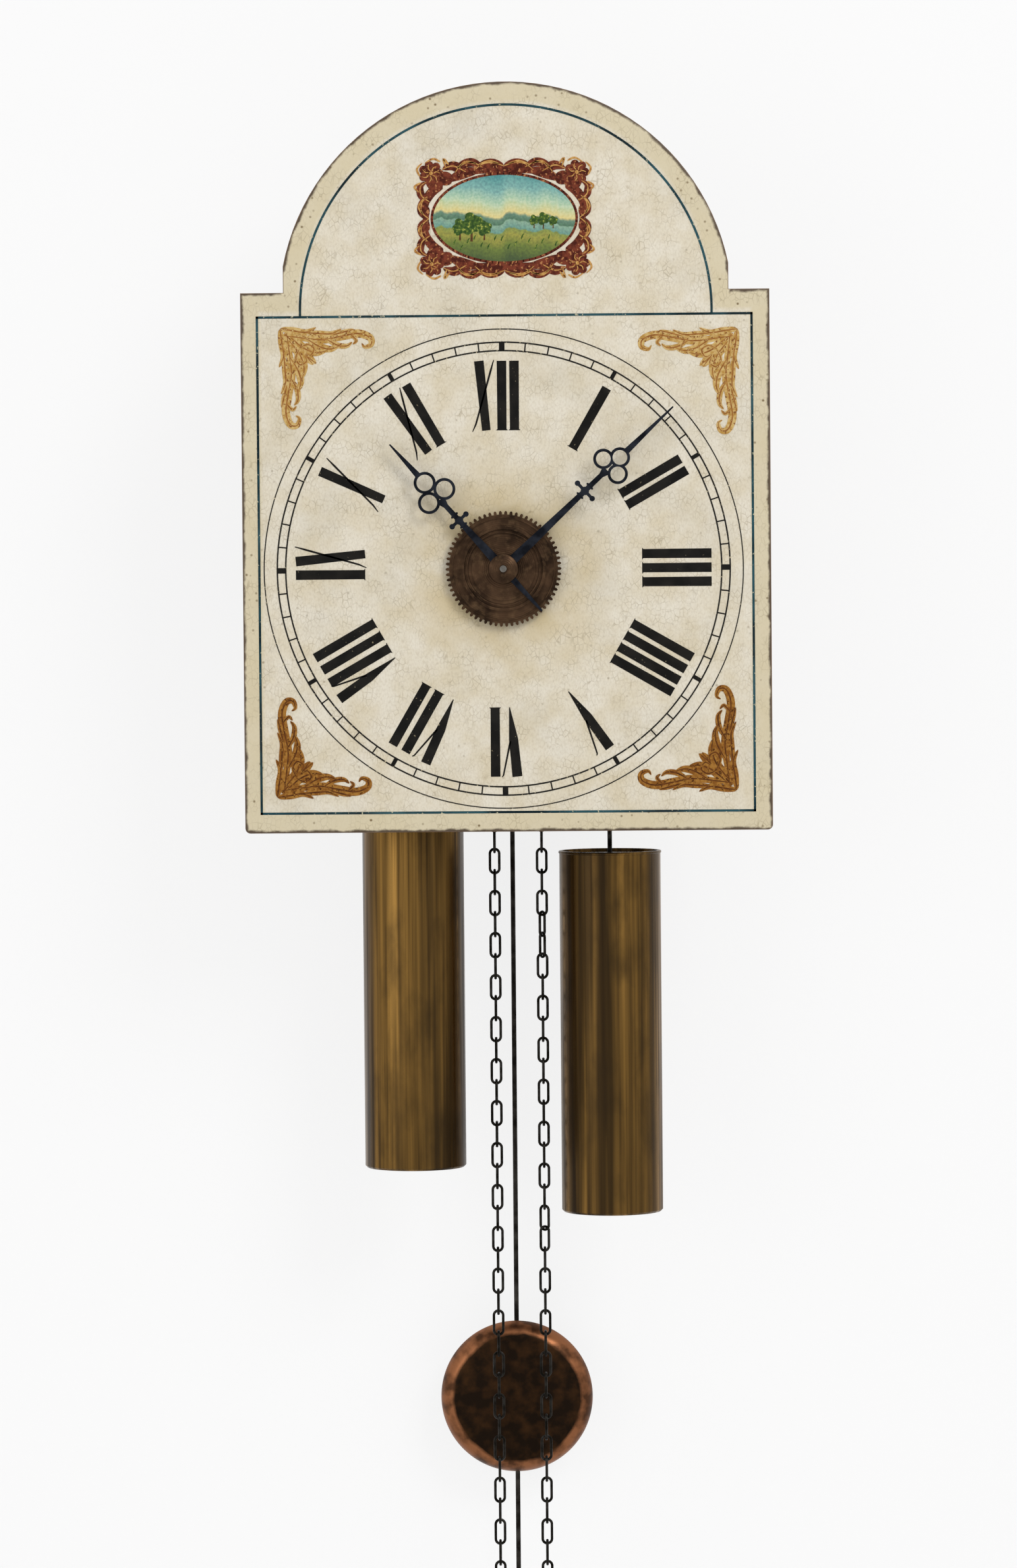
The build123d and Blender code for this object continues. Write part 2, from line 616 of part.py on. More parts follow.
# Hour wheel: carries the hour hand on its pipe, one turn in twelve hours
hour_plane = facing(0, HOUR_WHEEL_Y, 0)
hour_length = HOUR_WHEEL_Y - HOUR_HAND_Y + HAND_THICKNESS + 0.3
with BuildPart() as hour_wheel:
    blank(hour_plane, plain_teeth(HOUR_TEETH, LEAF_MODULE, 0.8, 0.44, 0.15, from_drive), HAND_WHEEL_THICKNESS)
    windows(hour_plane, 30.0, 8.0, 4, 4.0, HAND_WHEEL_THICKNESS)
    rod(hour_plane, HOUR_PIPE_RADIUS, hour_length)
    bore(hour_plane, CANNON_PIPE_RADIUS + RUNNING_GAP, hour_length)
hour_wheel.part.label = "hour_wheel"
export_step(hour_wheel.part, "parts/hour_wheel.step")


def hand_outline(hub, hole, tip, spike, crown, lobe_foot, lobe_side, knot, knot_arm, lobe, tail):
    """Pierced trefoil hand pointing along +y, for use inside a sketch. Lengths run from the arbor."""
    band = 1.35
    crown_lobe = (0, crown)
    side_lobes = ((-lobe_side, lobe_foot), (lobe_side, lobe_foot))
    lobe_base = lobe_foot - lobe - 1.2
    stem = [(-2.4, 0), (2.4, 0), (1.25, knot), (1.2, lobe_base), (-1.2, lobe_base), (-1.25, knot)]
    fork = [(-1.2, lobe_base), (1.2, lobe_base), (2.6, lobe_foot - 2.4), (-2.6, lobe_foot - 2.4)]
    point = [(-1.5, spike - 1.5), (1.5, spike - 1.5), (0.35, tip), (-0.35, tip)]
    for outline in (stem, fork, point):
        Polygon(*outline, align=None)
    with Locations(crown_lobe, *side_lobes):
        Circle(lobe)
    with Locations(crown_lobe, *side_lobes):
        Circle(lobe - band, mode=Mode.SUBTRACT)
    with Locations((0, knot)):
        Rectangle(2 * knot_arm, 1.5)
        Circle(2.0)
    with Locations((-knot_arm, knot), (knot_arm, knot)):
        Circle(1.3)
    with Locations((0, knot + 3.2), (0, knot - 3.2)):
        Ellipse(2.1, 0.8)
    if tail:
        Polygon((-1.8, 0), (1.8, 0), (0.5, -tail), (-0.5, -tail), align=None)
    Circle(hub)
    Circle(hole, mode=Mode.SUBTRACT)


# Minute hand: blued steel, pierced with a trefoil
with BuildPart() as minute_hand:
    with BuildSketch(hand_plane(MINUTE_ANGLE, MINUTE_HAND_Y)):
        hand_outline(5.0, CANNON_PIPE_RADIUS, 110.5, 80.4, 75.9, 69.8, 4.9, 53.1, 5.0, 4.8, 0)
    extrude(amount=HAND_THICKNESS)
minute_hand.part.label = "minute_hand"
export_step(minute_hand.part, "parts/minute_hand.step")

# Hour hand: the same form, shorter, with a thin tail that points at the alarm disc's rim
with BuildPart() as hour_hand:
    with BuildSketch(hand_plane(HOUR_ANGLE, HOUR_HAND_Y)):
        hand_outline(6.0, HOUR_PIPE_RADIUS, 79.5, 60.0, 55.0, 46.6, 4.9, 31.0, 4.4, 5.2, 27.0)
    extrude(amount=HAND_THICKNESS)
hour_hand.part.label = "hour_hand"
export_step(hour_hand.part, "parts/hour_hand.step")

# Alarm disc: milled brass disc with a raised seat, turned by hand on the hour pipe to set the alarm
with BuildPart() as alarm_disc:
    alarm_plane = facing(0, ALARM_Y, 0)
    blank(alarm_plane, toothed_rim(ALARM_TEETH, ALARM_RADIUS - 0.8, 0.8, 0.8, 1.4, 0.5, 0), 1.2)
    rod(alarm_plane, 15.0, 1.8)
    rod(alarm_plane, 9.0, 2.4)
    bore(alarm_plane, HOUR_PIPE_RADIUS + RUNNING_GAP, 2.4)
alarm_disc.part.label = "alarm_disc"
export_step(alarm_disc.part, "parts/alarm_disc.step")


def sprocket(at, wrap, turn):
    """Chain wheel with two flanges, pockets for the cross links and a ratchet that drives one way."""
    junction = LINK_PITCH / 2 / sin(pi / 2 / wrap)
    middle = junction * cos(pi / 2 / wrap)
    land = middle - LINK_WIRE - 0.4
    groove = middle - LINK_HALF_WIDTH - 0.5
    flange = junction + 1.6
    half = 4.4
    hole = GREAT_ARBOR + RUNNING_GAP
    across = Plane(origin=(at[0], CHAIN_Y, height(at[1])), x_dir=(1, 0, 0), z_dir=(0, 0, 1))
    with BuildSketch(across) as profile:
        with BuildLine():
            Polyline(
                (hole, -half),
                (flange, -half),
                (flange, -half + 0.8),
                (land, -half + 1.0),
                (land, -1.4),
                (groove, -1.4),
                (groove, 1.4),
                (land, 1.4),
                (land, half - 1.0),
                (flange, half - 0.8),
                (flange, half),
                (hole, half),
                close=True,
            )
        make_face()
    revolve(profile.sketch, axis=Axis((at[0], CHAIN_Y, height(at[1])), (0, 1, 0)))
    with BuildSketch(facing(at[0], CHAIN_Y + 3.3, at[1])) as pockets:
        with PolarLocations(land, wrap, start_angle=270 / wrap):
            Rectangle(1.6, 9.0)
    extrude(pockets.sketch, amount=6.6, mode=Mode.SUBTRACT)
    ratchet_plane = facing(at[0], CHAIN_Y - half, at[1])
    saw = []
    for number in range(12):
        tip = pi / 2 - turn * radians(40 + 30 * number)
        root = tip + turn * 0.06
        saw.append((11.6 * cos(tip), 11.6 * sin(tip)))
        saw.append((9.6 * cos(root), 9.6 * sin(root)))
    if turn > 0:
        saw.reverse()
    blank(ratchet_plane, saw, 1.5)
    bore(ratchet_plane, hole, 1.5)


# Clicks: pawls on the back of the great wheels, over the sprockets' ratchets
CLICK_RADIUS = 17.5
CLICK_STUD = 1.0
CLICK_Y = CHAIN_Y - 4.6
CLICK_THICKNESS = 1.4


def click(at, turn):
    """Pawl pivoted ahead of its point, which stands just over the teeth."""
    with BuildSketch(facing(at[0], CLICK_Y, at[1])) as pawl:
        with Locations((0, CLICK_RADIUS)):
            Circle(2.4)
        arm = [(-1.6, 19.3), (-8.6, 11.2), (-7.2, 9.9), (1.6, 15.7)]
        Polygon(*[(-turn * x, z) for x, z in arm], align=None)
        with Locations((0, CLICK_RADIUS)):
            Circle(CLICK_STUD + RUNNING_GAP, mode=Mode.SUBTRACT)
    extrude(pawl.sketch, amount=CLICK_THICKNESS)


def great_wheel(at, teeth, phase, lifting_pins):
    """Great wheel with the stud for its click and, on the strike side, the pins that lift the hammer."""
    lantern_wheel(at, GREAT_WHEEL_Y, teeth, GREAT_MODULE, phase, GREAT_WHEEL_THICKNESS, GREAT_ARBOR, 0)
    rod(facing(at[0], CLICK_Y + 0.1, at[1] + CLICK_RADIUS), CLICK_STUD, CLICK_Y + 0.1 - GREAT_WHEEL_Y)
    if lifting_pins:
        with BuildSketch(facing(at[0], GREAT_WHEEL_Y - GREAT_WHEEL_THICKNESS, at[1])) as pins:
            with PolarLocations(21.0, lifting_pins, start_angle=5):
                Circle(0.8)
        extrude(pins.sketch, amount=4.0)


def great_arbor(at):
    """Great arbor: a back pivot, a shaft through the front plate and collars beside wheel and plates."""
    back_shoulder = BACK_PLATE_FRONT - END_PLAY
    back_tip = BACK_PLATE_BACK - END_PLAY
    rod(facing(at[0], back_tip, at[1]), PIVOT, back_tip - back_shoulder)
    rod(facing(at[0], back_shoulder, at[1]), GREAT_ARBOR, back_shoulder - FRONT_PLATE_FRONT)
    rod(facing(at[0], back_shoulder, at[1]), 3.0, 20.0)
    rod(facing(at[0], GREAT_WHEEL_Y - GREAT_WHEEL_THICKNESS, at[1]), 4.0, 3.0)
    rod(facing(at[0], FRONT_PLATE_BACK + END_PLAY + COLLAR, at[1]), 2.6, COLLAR)


# Going train: sprocket, click, great wheel and arbor
with BuildPart() as going_sprocket:
    sprocket(GOING_AT, GOING_WRAP, -1)
going_sprocket.part.label = "going_sprocket"
export_step(going_sprocket.part, "parts/going_sprocket.step")
with BuildPart() as going_click:
    click(GOING_AT, -1)
going_click.part.label = "going_click"
export_step(going_click.part, "parts/going_click.step")
with BuildPart() as going_great_wheel:
    great_wheel(GOING_AT, GOING_TEETH, bearing(GOING_AT, SECOND_AT), 0)
going_great_wheel.part.label = "going_great_wheel"
export_step(going_great_wheel.part, "parts/going_great_wheel.step")
with BuildPart() as going_arbor:
    great_arbor(GOING_AT)
    rod(facing(GOING_AT[0], FRONT_PLATE_FRONT, GOING_AT[1]), GREAT_ARBOR, 12.0)
going_arbor.part.label = "going_arbor"
export_step(going_arbor.part, "parts/going_arbor.step")

# Second wheel of the going train and its arbor with a lantern pinion
with BuildPart() as second_wheel:
    to_escape = bearing(SECOND_AT, ESCAPE_AT)
    thickness = UPPER_WHEEL_THICKNESS
    lantern_wheel(SECOND_AT, UPPER_WHEEL_Y, SECOND_TEETH, SECOND_MODULE, to_escape, thickness, UPPER_ARBOR, 4)
second_wheel.part.label = "second_wheel"
export_step(second_wheel.part, "parts/second_wheel.step")
with BuildPart() as second_arbor:
    pivoted_arbor(SECOND_AT, UPPER_ARBOR, PIVOT)
    gap_to_great = bearing(SECOND_AT, GOING_AT) + pi / PINION_PINS
    lantern_pins(SECOND_AT, GREAT_WHEEL_Y, GREAT_WHEEL_THICKNESS, GREAT_MODULE, gap_to_great)
second_arbor.part.label = "second_arbor"
export_step(second_arbor.part, "parts/second_arbor.step")

# Escape wheel: thirty pointed teeth, and its arbor
with BuildPart() as escape_wheel:
    escape_plane = facing(ESCAPE_AT[0], ESCAPE_WHEEL_Y, ESCAPE_AT[1])
    points = []
    for number in range(ESCAPE_TEETH):
        start = 2 * pi * number / ESCAPE_TEETH
        points.append((ESCAPE_RADIUS * cos(start), ESCAPE_RADIUS * sin(start)))
        points.append((16.4 * cos(start + 0.05), 16.4 * sin(start + 0.05)))
        points.append((16.4 * cos(start + 0.12), 16.4 * sin(start + 0.12)))
    blank(escape_plane, points, ESCAPE_WHEEL_THICKNESS)
    windows(escape_plane, 13.6, 4.5, 4, 2.2, ESCAPE_WHEEL_THICKNESS)
    bore(escape_plane, SMALL_ARBOR, ESCAPE_WHEEL_THICKNESS)
escape_wheel.part.label = "escape_wheel"
export_step(escape_wheel.part, "parts/escape_wheel.step")
with BuildPart() as escape_arbor:
    pivoted_arbor(ESCAPE_AT, SMALL_ARBOR, PIVOT)
    gap_to_second = bearing(ESCAPE_AT, SECOND_AT) + pi / PINION_PINS
    lantern_pins(ESCAPE_AT, UPPER_WHEEL_Y, UPPER_WHEEL_THICKNESS, SECOND_MODULE, gap_to_second)
escape_arbor.part.label = "escape_arbor"
export_step(escape_arbor.part, "parts/escape_arbor.step")

# Anchor: bent steel strip whose two pallets stand over the escape wheel
PALLET_X = 15.7
PALLET_DROP = 17.7
with BuildPart() as anchor:
    anchor_plane = facing(ANCHOR_AT[0], ESCAPE_WHEEL_Y + 0.5, ANCHOR_AT[1])
    with BuildSketch(anchor_plane):
        with BuildLine():
            Polyline(
                (-4, 4),
                (4, 4),
                (PALLET_X + 2.2, -9),
                (PALLET_X + 1.6, -PALLET_DROP + 1),
                (PALLET_X, -PALLET_DROP),
                (PALLET_X - 1.2, -9),
                (0, -4),
                (-PALLET_X + 1.2, -9),
                (-PALLET_X, -PALLET_DROP),
                (-PALLET_X - 1.6, -PALLET_DROP + 1),
                (-PALLET_X - 2.2, -9),
                close=True,
            )
        make_face()
        Circle(UPPER_ARBOR, mode=Mode.SUBTRACT)
    extrude(amount=ESCAPE_WHEEL_THICKNESS + 1.0)
anchor.part.label = "anchor"
export_step(anchor.part, "parts/anchor.step")

# Anchor arbor: from the front plate through the back plate to the suspension cock
COCK_FRONT = -23.0
COCK_BACK = -20.0
with BuildPart() as anchor_arbor:
    front_shoulder = FRONT_PLATE_BACK + END_PLAY
    front_tip = FRONT_PLATE_FRONT + END_PLAY
    back_shoulder = COCK_FRONT - END_PLAY
    rod(facing(ANCHOR_AT[0], back_shoulder, ANCHOR_AT[1]), UPPER_ARBOR, back_shoulder - front_shoulder)
    rod(facing(ANCHOR_AT[0], front_shoulder + COLLAR, ANCHOR_AT[1]), UPPER_ARBOR + 0.8, COLLAR)
    rod(facing(ANCHOR_AT[0], COCK_FRONT + 1.4, ANCHOR_AT[1]), PIVOT, COCK_FRONT + 1.4 - front_tip)
anchor_arbor.part.label = "anchor_arbor"
export_step(anchor_arbor.part, "parts/anchor_arbor.step")

# Crutch: wire on the anchor arbor whose fork embraces the pendulum rod
CRUTCH_Y = -27.5
CRUTCH_DROP = 58.0
FORK_X = 2.1
FORK_WIRE = 0.8
FORK_BACK = -9.5
crutch_foot = height(ANCHOR_AT[1]) - CRUTCH_DROP
with BuildPart() as crutch:
    rod(facing(ANCHOR_AT[0], CRUTCH_Y + 1.8, ANCHOR_AT[1]), 3.0, 3.6)
    with BuildSketch(Plane.XY.offset(crutch_foot)):
        with Locations((ANCHOR_AT[0], CRUTCH_Y)):
            Circle(0.9)
    extrude(amount=CRUTCH_DROP - 2.0)
    fork_side = Plane(origin=(ANCHOR_AT[0] - 3.2, CRUTCH_Y, crutch_foot), x_dir=(0, 1, 0), z_dir=(1, 0, 0))
    with BuildSketch(fork_side):
        Circle(1.0)
    extrude(amount=6.4)
    for side in (-1, 1):
        prong = facing(ANCHOR_AT[0] + side * FORK_X, FORK_BACK, ANCHOR_AT[1] - CRUTCH_DROP)
        rod(prong, FORK_WIRE, FORK_BACK - CRUTCH_Y)
    with BuildSketch(facing(ANCHOR_AT[0], CRUTCH_Y + 2.5, ANCHOR_AT[1])):
        Circle(UPPER_ARBOR)
    extrude(amount=5.0, mode=Mode.SUBTRACT)
crutch.part.label = "crutch"
export_step(crutch.part, "parts/crutch.step")

# Suspension cock: brass bridge behind the back plate with the stud that the pendulum hangs on
COCK_SPAN = 15.0
COCK_HEIGHT = 13.0
with BuildPart() as suspension_cock:
    with BuildSketch(facing(ANCHOR_AT[0], COCK_BACK, ANCHOR_AT[1])):
        Rectangle(2 * COCK_SPAN + 4, COCK_HEIGHT)
    extrude(amount=COCK_BACK - COCK_FRONT)
    for side in (-1, 1):
        with BuildSketch(facing(ANCHOR_AT[0] + side * (COCK_SPAN + 1), COCK_FRONT, ANCHOR_AT[1])):
            Rectangle(2, COCK_HEIGHT)
        extrude(amount=COCK_FRONT - BACK_PLATE_BACK)
        with BuildSketch(facing(ANCHOR_AT[0] + side * (COCK_SPAN + 6), BACK_PLATE_BACK + 2, ANCHOR_AT[1])):
            Rectangle(12, COCK_HEIGHT)
        extrude(amount=2)
    with BuildSketch(facing(ANCHOR_AT[0], COCK_FRONT + 1.5, ANCHOR_AT[1])):
        Circle(PIVOT + RUNNING_GAP)
    extrude(amount=1.5, mode=Mode.SUBTRACT)
    rod(facing(ANCHOR_AT[0], ROD_Y + 3.6, ANCHOR_AT[1]), STUD_RADIUS, ROD_Y + 3.6 - COCK_BACK)
    rod(facing(ANCHOR_AT[0], ROD_Y + 3.6, ANCHOR_AT[1]), 2.4, 1.2)
suspension_cock.part.label = "suspension_cock"
export_step(suspension_cock.part, "parts/suspension_cock.step")

# Pendulum rod: iron wire with a flattened eye at the top
ROD_EYE = 3.6
with BuildPart() as pendulum_rod:
    with BuildSketch(facing(ANCHOR_AT[0], ROD_Y + 1.2, ANCHOR_AT[1])):
        Circle(ROD_EYE)
        Circle(STUD_RADIUS + 0.08, mode=Mode.SUBTRACT)
    extrude(amount=2.4)
    rod_top = height(ANCHOR_AT[1]) - ROD_EYE + 0.8
    with BuildSketch(Plane.XY.offset(ROD_FOOT)):
        with Locations((ANCHOR_AT[0], ROD_Y)):
            Circle(ROD_RADIUS)
    extrude(amount=rod_top - ROD_FOOT)
    fillet(pendulum_rod.faces().sort_by(Axis.Z)[0].edges(), radius=0.8)
pendulum_rod.part.label = "pendulum_rod"
export_step(pendulum_rod.part, "parts/pendulum_rod.step")

# Pendulum bob: brass lens with a bevelled rim, held on the rod by a sleeve behind it
BOB_FLAT = 28.5
BOB_EDGE = 2.2
SLEEVE_RADIUS = 4.0
SLEEVE_LENGTH = 30.0
with BuildPart() as pendulum_bob:
    with BuildSketch(Plane(origin=(ANCHOR_AT[0], 0, BOB_Z), x_dir=(1, 0, 0), z_dir=(0, 0, 1))):
        with BuildLine():
            Polyline((0, BOB_BACK), (0, BOB_FRONT))
            ThreePointArc((0, BOB_FRONT), (BOB_FLAT / 2, BOB_FRONT + 0.5), (BOB_FLAT, BOB_FRONT + 2.0))
            ThreePointArc(
                (BOB_FLAT, BOB_FRONT + 2.0),
                (BOB_RADIUS - 3.2, BOB_FRONT + 4.2),
                (BOB_RADIUS, BOB_BACK - BOB_EDGE),
            )
            Polyline((BOB_RADIUS, BOB_BACK - BOB_EDGE), (BOB_RADIUS - 0.8, BOB_BACK), (0, BOB_BACK))
        make_face()
    revolve(axis=Axis((ANCHOR_AT[0], 0, BOB_Z), (0, 1, 0)))
    sleeve_plane = Plane.XY.offset(BOB_Z - SLEEVE_LENGTH / 2)
    with BuildSketch(sleeve_plane):
        with Locations((ANCHOR_AT[0], ROD_Y)):
            Circle(SLEEVE_RADIUS)
    extrude(amount=SLEEVE_LENGTH)
    with BuildSketch(Plane.XY.offset(BOB_Z - BOB_RADIUS)):
        with Locations((ANCHOR_AT[0], ROD_Y)):
            Circle(ROD_RADIUS + RUNNING_GAP)
    extrude(amount=2 * BOB_RADIUS, mode=Mode.SUBTRACT)
pendulum_bob.part.label = "pendulum_bob"
export_step(pendulum_bob.part, "parts/pendulum_bob.step")

# Strike train: sprocket, click, great wheel with thirteen lifting pins, and arbor with the count pinion
with BuildPart() as strike_sprocket:
    sprocket(STRIKE_AT, STRIKE_WRAP, 1)
strike_sprocket.part.label = "strike_sprocket"
export_step(strike_sprocket.part, "parts/strike_sprocket.step")
with BuildPart() as strike_click:
    click(STRIKE_AT, 1)
strike_click.part.label = "strike_click"
export_step(strike_click.part, "parts/strike_click.step")
with BuildPart() as strike_great_wheel:
    great_wheel(STRIKE_AT, STRIKE_TEETH, bearing(STRIKE_AT, LOCKING_AT), 13)
strike_great_wheel.part.label = "strike_great_wheel"
export_step(strike_great_wheel.part, "parts/strike_great_wheel.step")
to_count = bearing(STRIKE_AT, COUNT_AT)
with BuildPart() as strike_arbor:
    great_arbor(STRIKE_AT)
    rod(facing(STRIKE_AT[0], FRONT_PLATE_FRONT, STRIKE_AT[1]), GREAT_ARBOR, 3.4)
    count_pinion = plain_teeth(LEAF_TEETH, COUNT_MODULE, 0.6, 0.38, 0.15, to_count + pi / LEAF_TEETH)
    blank(facing(STRIKE_AT[0], COUNT_WHEEL_Y + 0.8, STRIKE_AT[1]), count_pinion, 3.0)
strike_arbor.part.label = "strike_arbor"
export_step(strike_arbor.part, "parts/strike_arbor.step")

# Count wheel: turns once in twelve hours and counts the blows in its notched rim
NOTCHED_RADIUS = 18.4
LOCKING_PIN_AT = 15.5
BLOWS = 78
with BuildPart() as count_wheel:
    count_plane = facing(COUNT_AT[0], COUNT_WHEEL_Y, COUNT_AT[1])
    count_teeth = plain_teeth(HOUR_TEETH, COUNT_MODULE, 0.8, 0.42, 0.15, bearing(COUNT_AT, STRIKE_AT))
    blank(count_plane, count_teeth, 1.0)
    rod(count_plane, NOTCHED_RADIUS, 1.8)
    windows(count_plane, 13.0, 4.8, 4, 3.0, 1.8)
    struck = 0
    for hour in range(1, 13):
        struck += hour
        notch = degrees(2 * pi * struck / BLOWS)
        with BuildSketch(facing(COUNT_AT[0], COUNT_WHEEL_Y - 1.0, COUNT_AT[1])):
            with PolarLocations(NOTCHED_RADIUS, 1, start_angle=notch):
                Rectangle(3.0, 1.3)
        extrude(amount=0.8, mode=Mode.SUBTRACT)
    bore(count_plane, POST_RADIUS + RUNNING_GAP, 1.8)
count_wheel.part.label = "count_wheel"
export_step(count_wheel.part, "parts/count_wheel.step")

# Locking wheel: turns once for each blow and is stopped by the pin in its rim
with BuildPart() as locking_wheel:
    to_warning = bearing(LOCKING_AT, WARNING_AT)
    thickness = UPPER_WHEEL_THICKNESS
    lantern_wheel(
        LOCKING_AT, UPPER_WHEEL_Y, LOCKING_TEETH, SECOND_MODULE, to_warning, thickness, UPPER_ARBOR, 4
    )
    rod(facing(LOCKING_AT[0], UPPER_WHEEL_Y + 2.0, LOCKING_AT[1] - LOCKING_PIN_AT), 0.6, 2.0)
locking_wheel.part.label = "locking_wheel"
export_step(locking_wheel.part, "parts/locking_wheel.step")
with BuildPart() as locking_arbor:
    pivoted_arbor(LOCKING_AT, UPPER_ARBOR, PIVOT)
    gap_to_strike = bearing(LOCKING_AT, STRIKE_AT) + pi / PINION_PINS
    lantern_pins(LOCKING_AT, GREAT_WHEEL_Y, GREAT_WHEEL_THICKNESS, GREAT_MODULE, gap_to_strike)
locking_arbor.part.label = "locking_arbor"
export_step(locking_arbor.part, "parts/locking_arbor.step")

# Warning wheel: holds the train just before the hour
with BuildPart() as warning_wheel:
    to_fly = bearing(WARNING_AT, FLY_AT)
    thickness = WARNING_WHEEL_THICKNESS
    lantern_wheel(WARNING_AT, WARNING_WHEEL_Y, WARNING_TEETH, FLY_MODULE, to_fly, thickness, SMALL_ARBOR, 4)
warning_wheel.part.label = "warning_wheel"
export_step(warning_wheel.part, "parts/warning_wheel.step")
with BuildPart() as warning_arbor:
    pivoted_arbor(WARNING_AT, SMALL_ARBOR, PIVOT)
    gap_to_locking = bearing(WARNING_AT, LOCKING_AT) + pi / PINION_PINS
    lantern_pins(WARNING_AT, UPPER_WHEEL_Y, UPPER_WHEEL_THICKNESS, SECOND_MODULE, gap_to_locking)
warning_arbor.part.label = "warning_arbor"
export_step(warning_arbor.part, "parts/warning_arbor.step")

# Fly: air brake of the strike train, a flat vane on the fastest arbor
FLY_REACH = 10.6
FLY_LENGTH = 10.0
FLY_ARBOR = 0.75
with BuildPart() as fly:
    for shoulder in (BACK_PLATE_BACK - END_PLAY, FRONT_PLATE_BACK + END_PLAY):
        rod(facing(FLY_AT[0], shoulder, FLY_AT[1]), PIVOT, PLATE_THICKNESS)
    rod(facing(FLY_AT[0], BACK_PLATE_FRONT - END_PLAY, FLY_AT[1]), FLY_ARBOR, 49.0)
    rod(facing(FLY_AT[0], BACK_PLATE_FRONT - END_PLAY, FLY_AT[1]), 1.4, 14.0)
    rod(facing(FLY_AT[0], FRONT_PLATE_BACK + END_PLAY + 28.0, FLY_AT[1]), 1.4, 28.0)
    gap_to_warning = bearing(FLY_AT, WARNING_AT) + pi / PINION_PINS
    lantern_pins(FLY_AT, WARNING_WHEEL_Y, WARNING_WHEEL_THICKNESS, FLY_MODULE, gap_to_warning)
    with BuildSketch(facing(FLY_AT[0], BACK_PLATE_FRONT - 2, FLY_AT[1])):
        Rectangle(2 * FLY_REACH, 0.8)
        Circle(1.6)
    extrude(amount=FLY_LENGTH)
fly.part.label = "fly"
export_step(fly.part, "parts/fly.step")

# Hammer: arbor, tail beside the lifting pins, arm through the top board and head inside the bell
TAIL_TIP = (-48.9, -14.6)
HEAD_AT = (-68.2, 102.6)
HEAD_LENGTH = 7.5
with BuildPart() as hammer:
    pivoted_arbor(HAMMER_AT, 1.5, PIVOT)
    rod(facing(HAMMER_AT[0], HAMMER_ARM_Y + 2.0, HAMMER_AT[1]), 3.2, 4.0)
    for x, z in (TAIL_TIP, HEAD_AT):
        reach = hypot(x - HAMMER_AT[0], z - HAMMER_AT[1])
        slope = bearing(HAMMER_AT, (x, z))
        along = Plane(
            origin=(HAMMER_AT[0], HAMMER_ARM_Y, height(HAMMER_AT[1])),
            x_dir=(0, 1, 0),
            z_dir=(cos(slope), 0, sin(slope)),
        )
        rod(along, 0.9, reach)
    striking_face = (HEAD_AT[0] - HEAD_LENGTH / 2, HAMMER_ARM_Y, height(HEAD_AT[1]))
    rod(Plane(origin=striking_face, x_dir=(0, 1, 0), z_dir=(1, 0, 0)), 3.0, HEAD_LENGTH)
    fillet(hammer.faces().filter_by(Axis.X).sort_by(Axis.X)[0].edges(), radius=1.2)
hammer.part.label = "hammer"
export_step(hammer.part, "parts/hammer.step")

# Locking lever: its hook drops into the count wheel's notches and its inner arm stops the train
HOOK_Y = COUNT_WHEEL_Y - 1.1
LEVER_ARBOR = 1.5


def lever_arbor(at, front):
    """Arbor with a back pivot and a front end that passes through the plate, for use inside a part."""
    back_shoulder = BACK_PLATE_FRONT - END_PLAY
    back_tip = BACK_PLATE_BACK - END_PLAY
    rod(facing(at[0], back_tip, at[1]), PIVOT, back_tip - back_shoulder)
    rod(facing(at[0], back_shoulder, at[1]), LEVER_ARBOR, back_shoulder - front)
    rod(facing(at[0], FRONT_PLATE_BACK + END_PLAY + COLLAR, at[1]), 2.6, COLLAR)


with BuildPart() as locking_lever:
    lever_arbor(LOCKING_LEVER_AT, HOOK_Y - 0.8)
    with BuildSketch(facing(LOCKING_LEVER_AT[0], HOOK_Y, LOCKING_LEVER_AT[1])):
        Circle(3.0)
        Polygon((0, 2), (15.6, -3.4), (16, -9.3), (14.6, -9.3), (14.2, -5), (0, -2), align=None)
    extrude(amount=0.8)
    with BuildSketch(facing(LOCKING_LEVER_AT[0], UPPER_WHEEL_Y + 2.0, LOCKING_LEVER_AT[1])):
        Circle(3.0)
        Polygon((-1.2, 0), (1.2, -0.6), (-0.2, -26.0), (-1.6, -26.0), align=None)
    extrude(amount=1.2)
locking_lever.part.label = "locking_lever"
export_step(locking_lever.part, "parts/locking_lever.step")

# Lifting lever: raised by the cannon wheel's pins, it frees the strike train on the hour
with BuildPart() as lifting_lever:
    lever_arbor(LIFTING_LEVER_AT, HOOK_Y - 1.0)
    with BuildSketch(facing(LIFTING_LEVER_AT[0], HOOK_Y, LIFTING_LEVER_AT[1])):
        Circle(3.0)
        Polygon((-1.6, 0), (1.6, 0), (1.2, -45.0), (-1.2, -45.0), align=None)
    extrude(amount=1.0)
    with BuildSketch(facing(LIFTING_LEVER_AT[0], -88.0, LIFTING_LEVER_AT[1])):
        Circle(3.0)
        Polygon((0, -1.6), (0, 1.6), (-30.0, -14.0), (-30.4, -15.6), align=None)
    extrude(amount=1.0)
lifting_lever.part.label = "lifting_lever"
export_step(lifting_lever.part, "parts/lifting_lever.step")

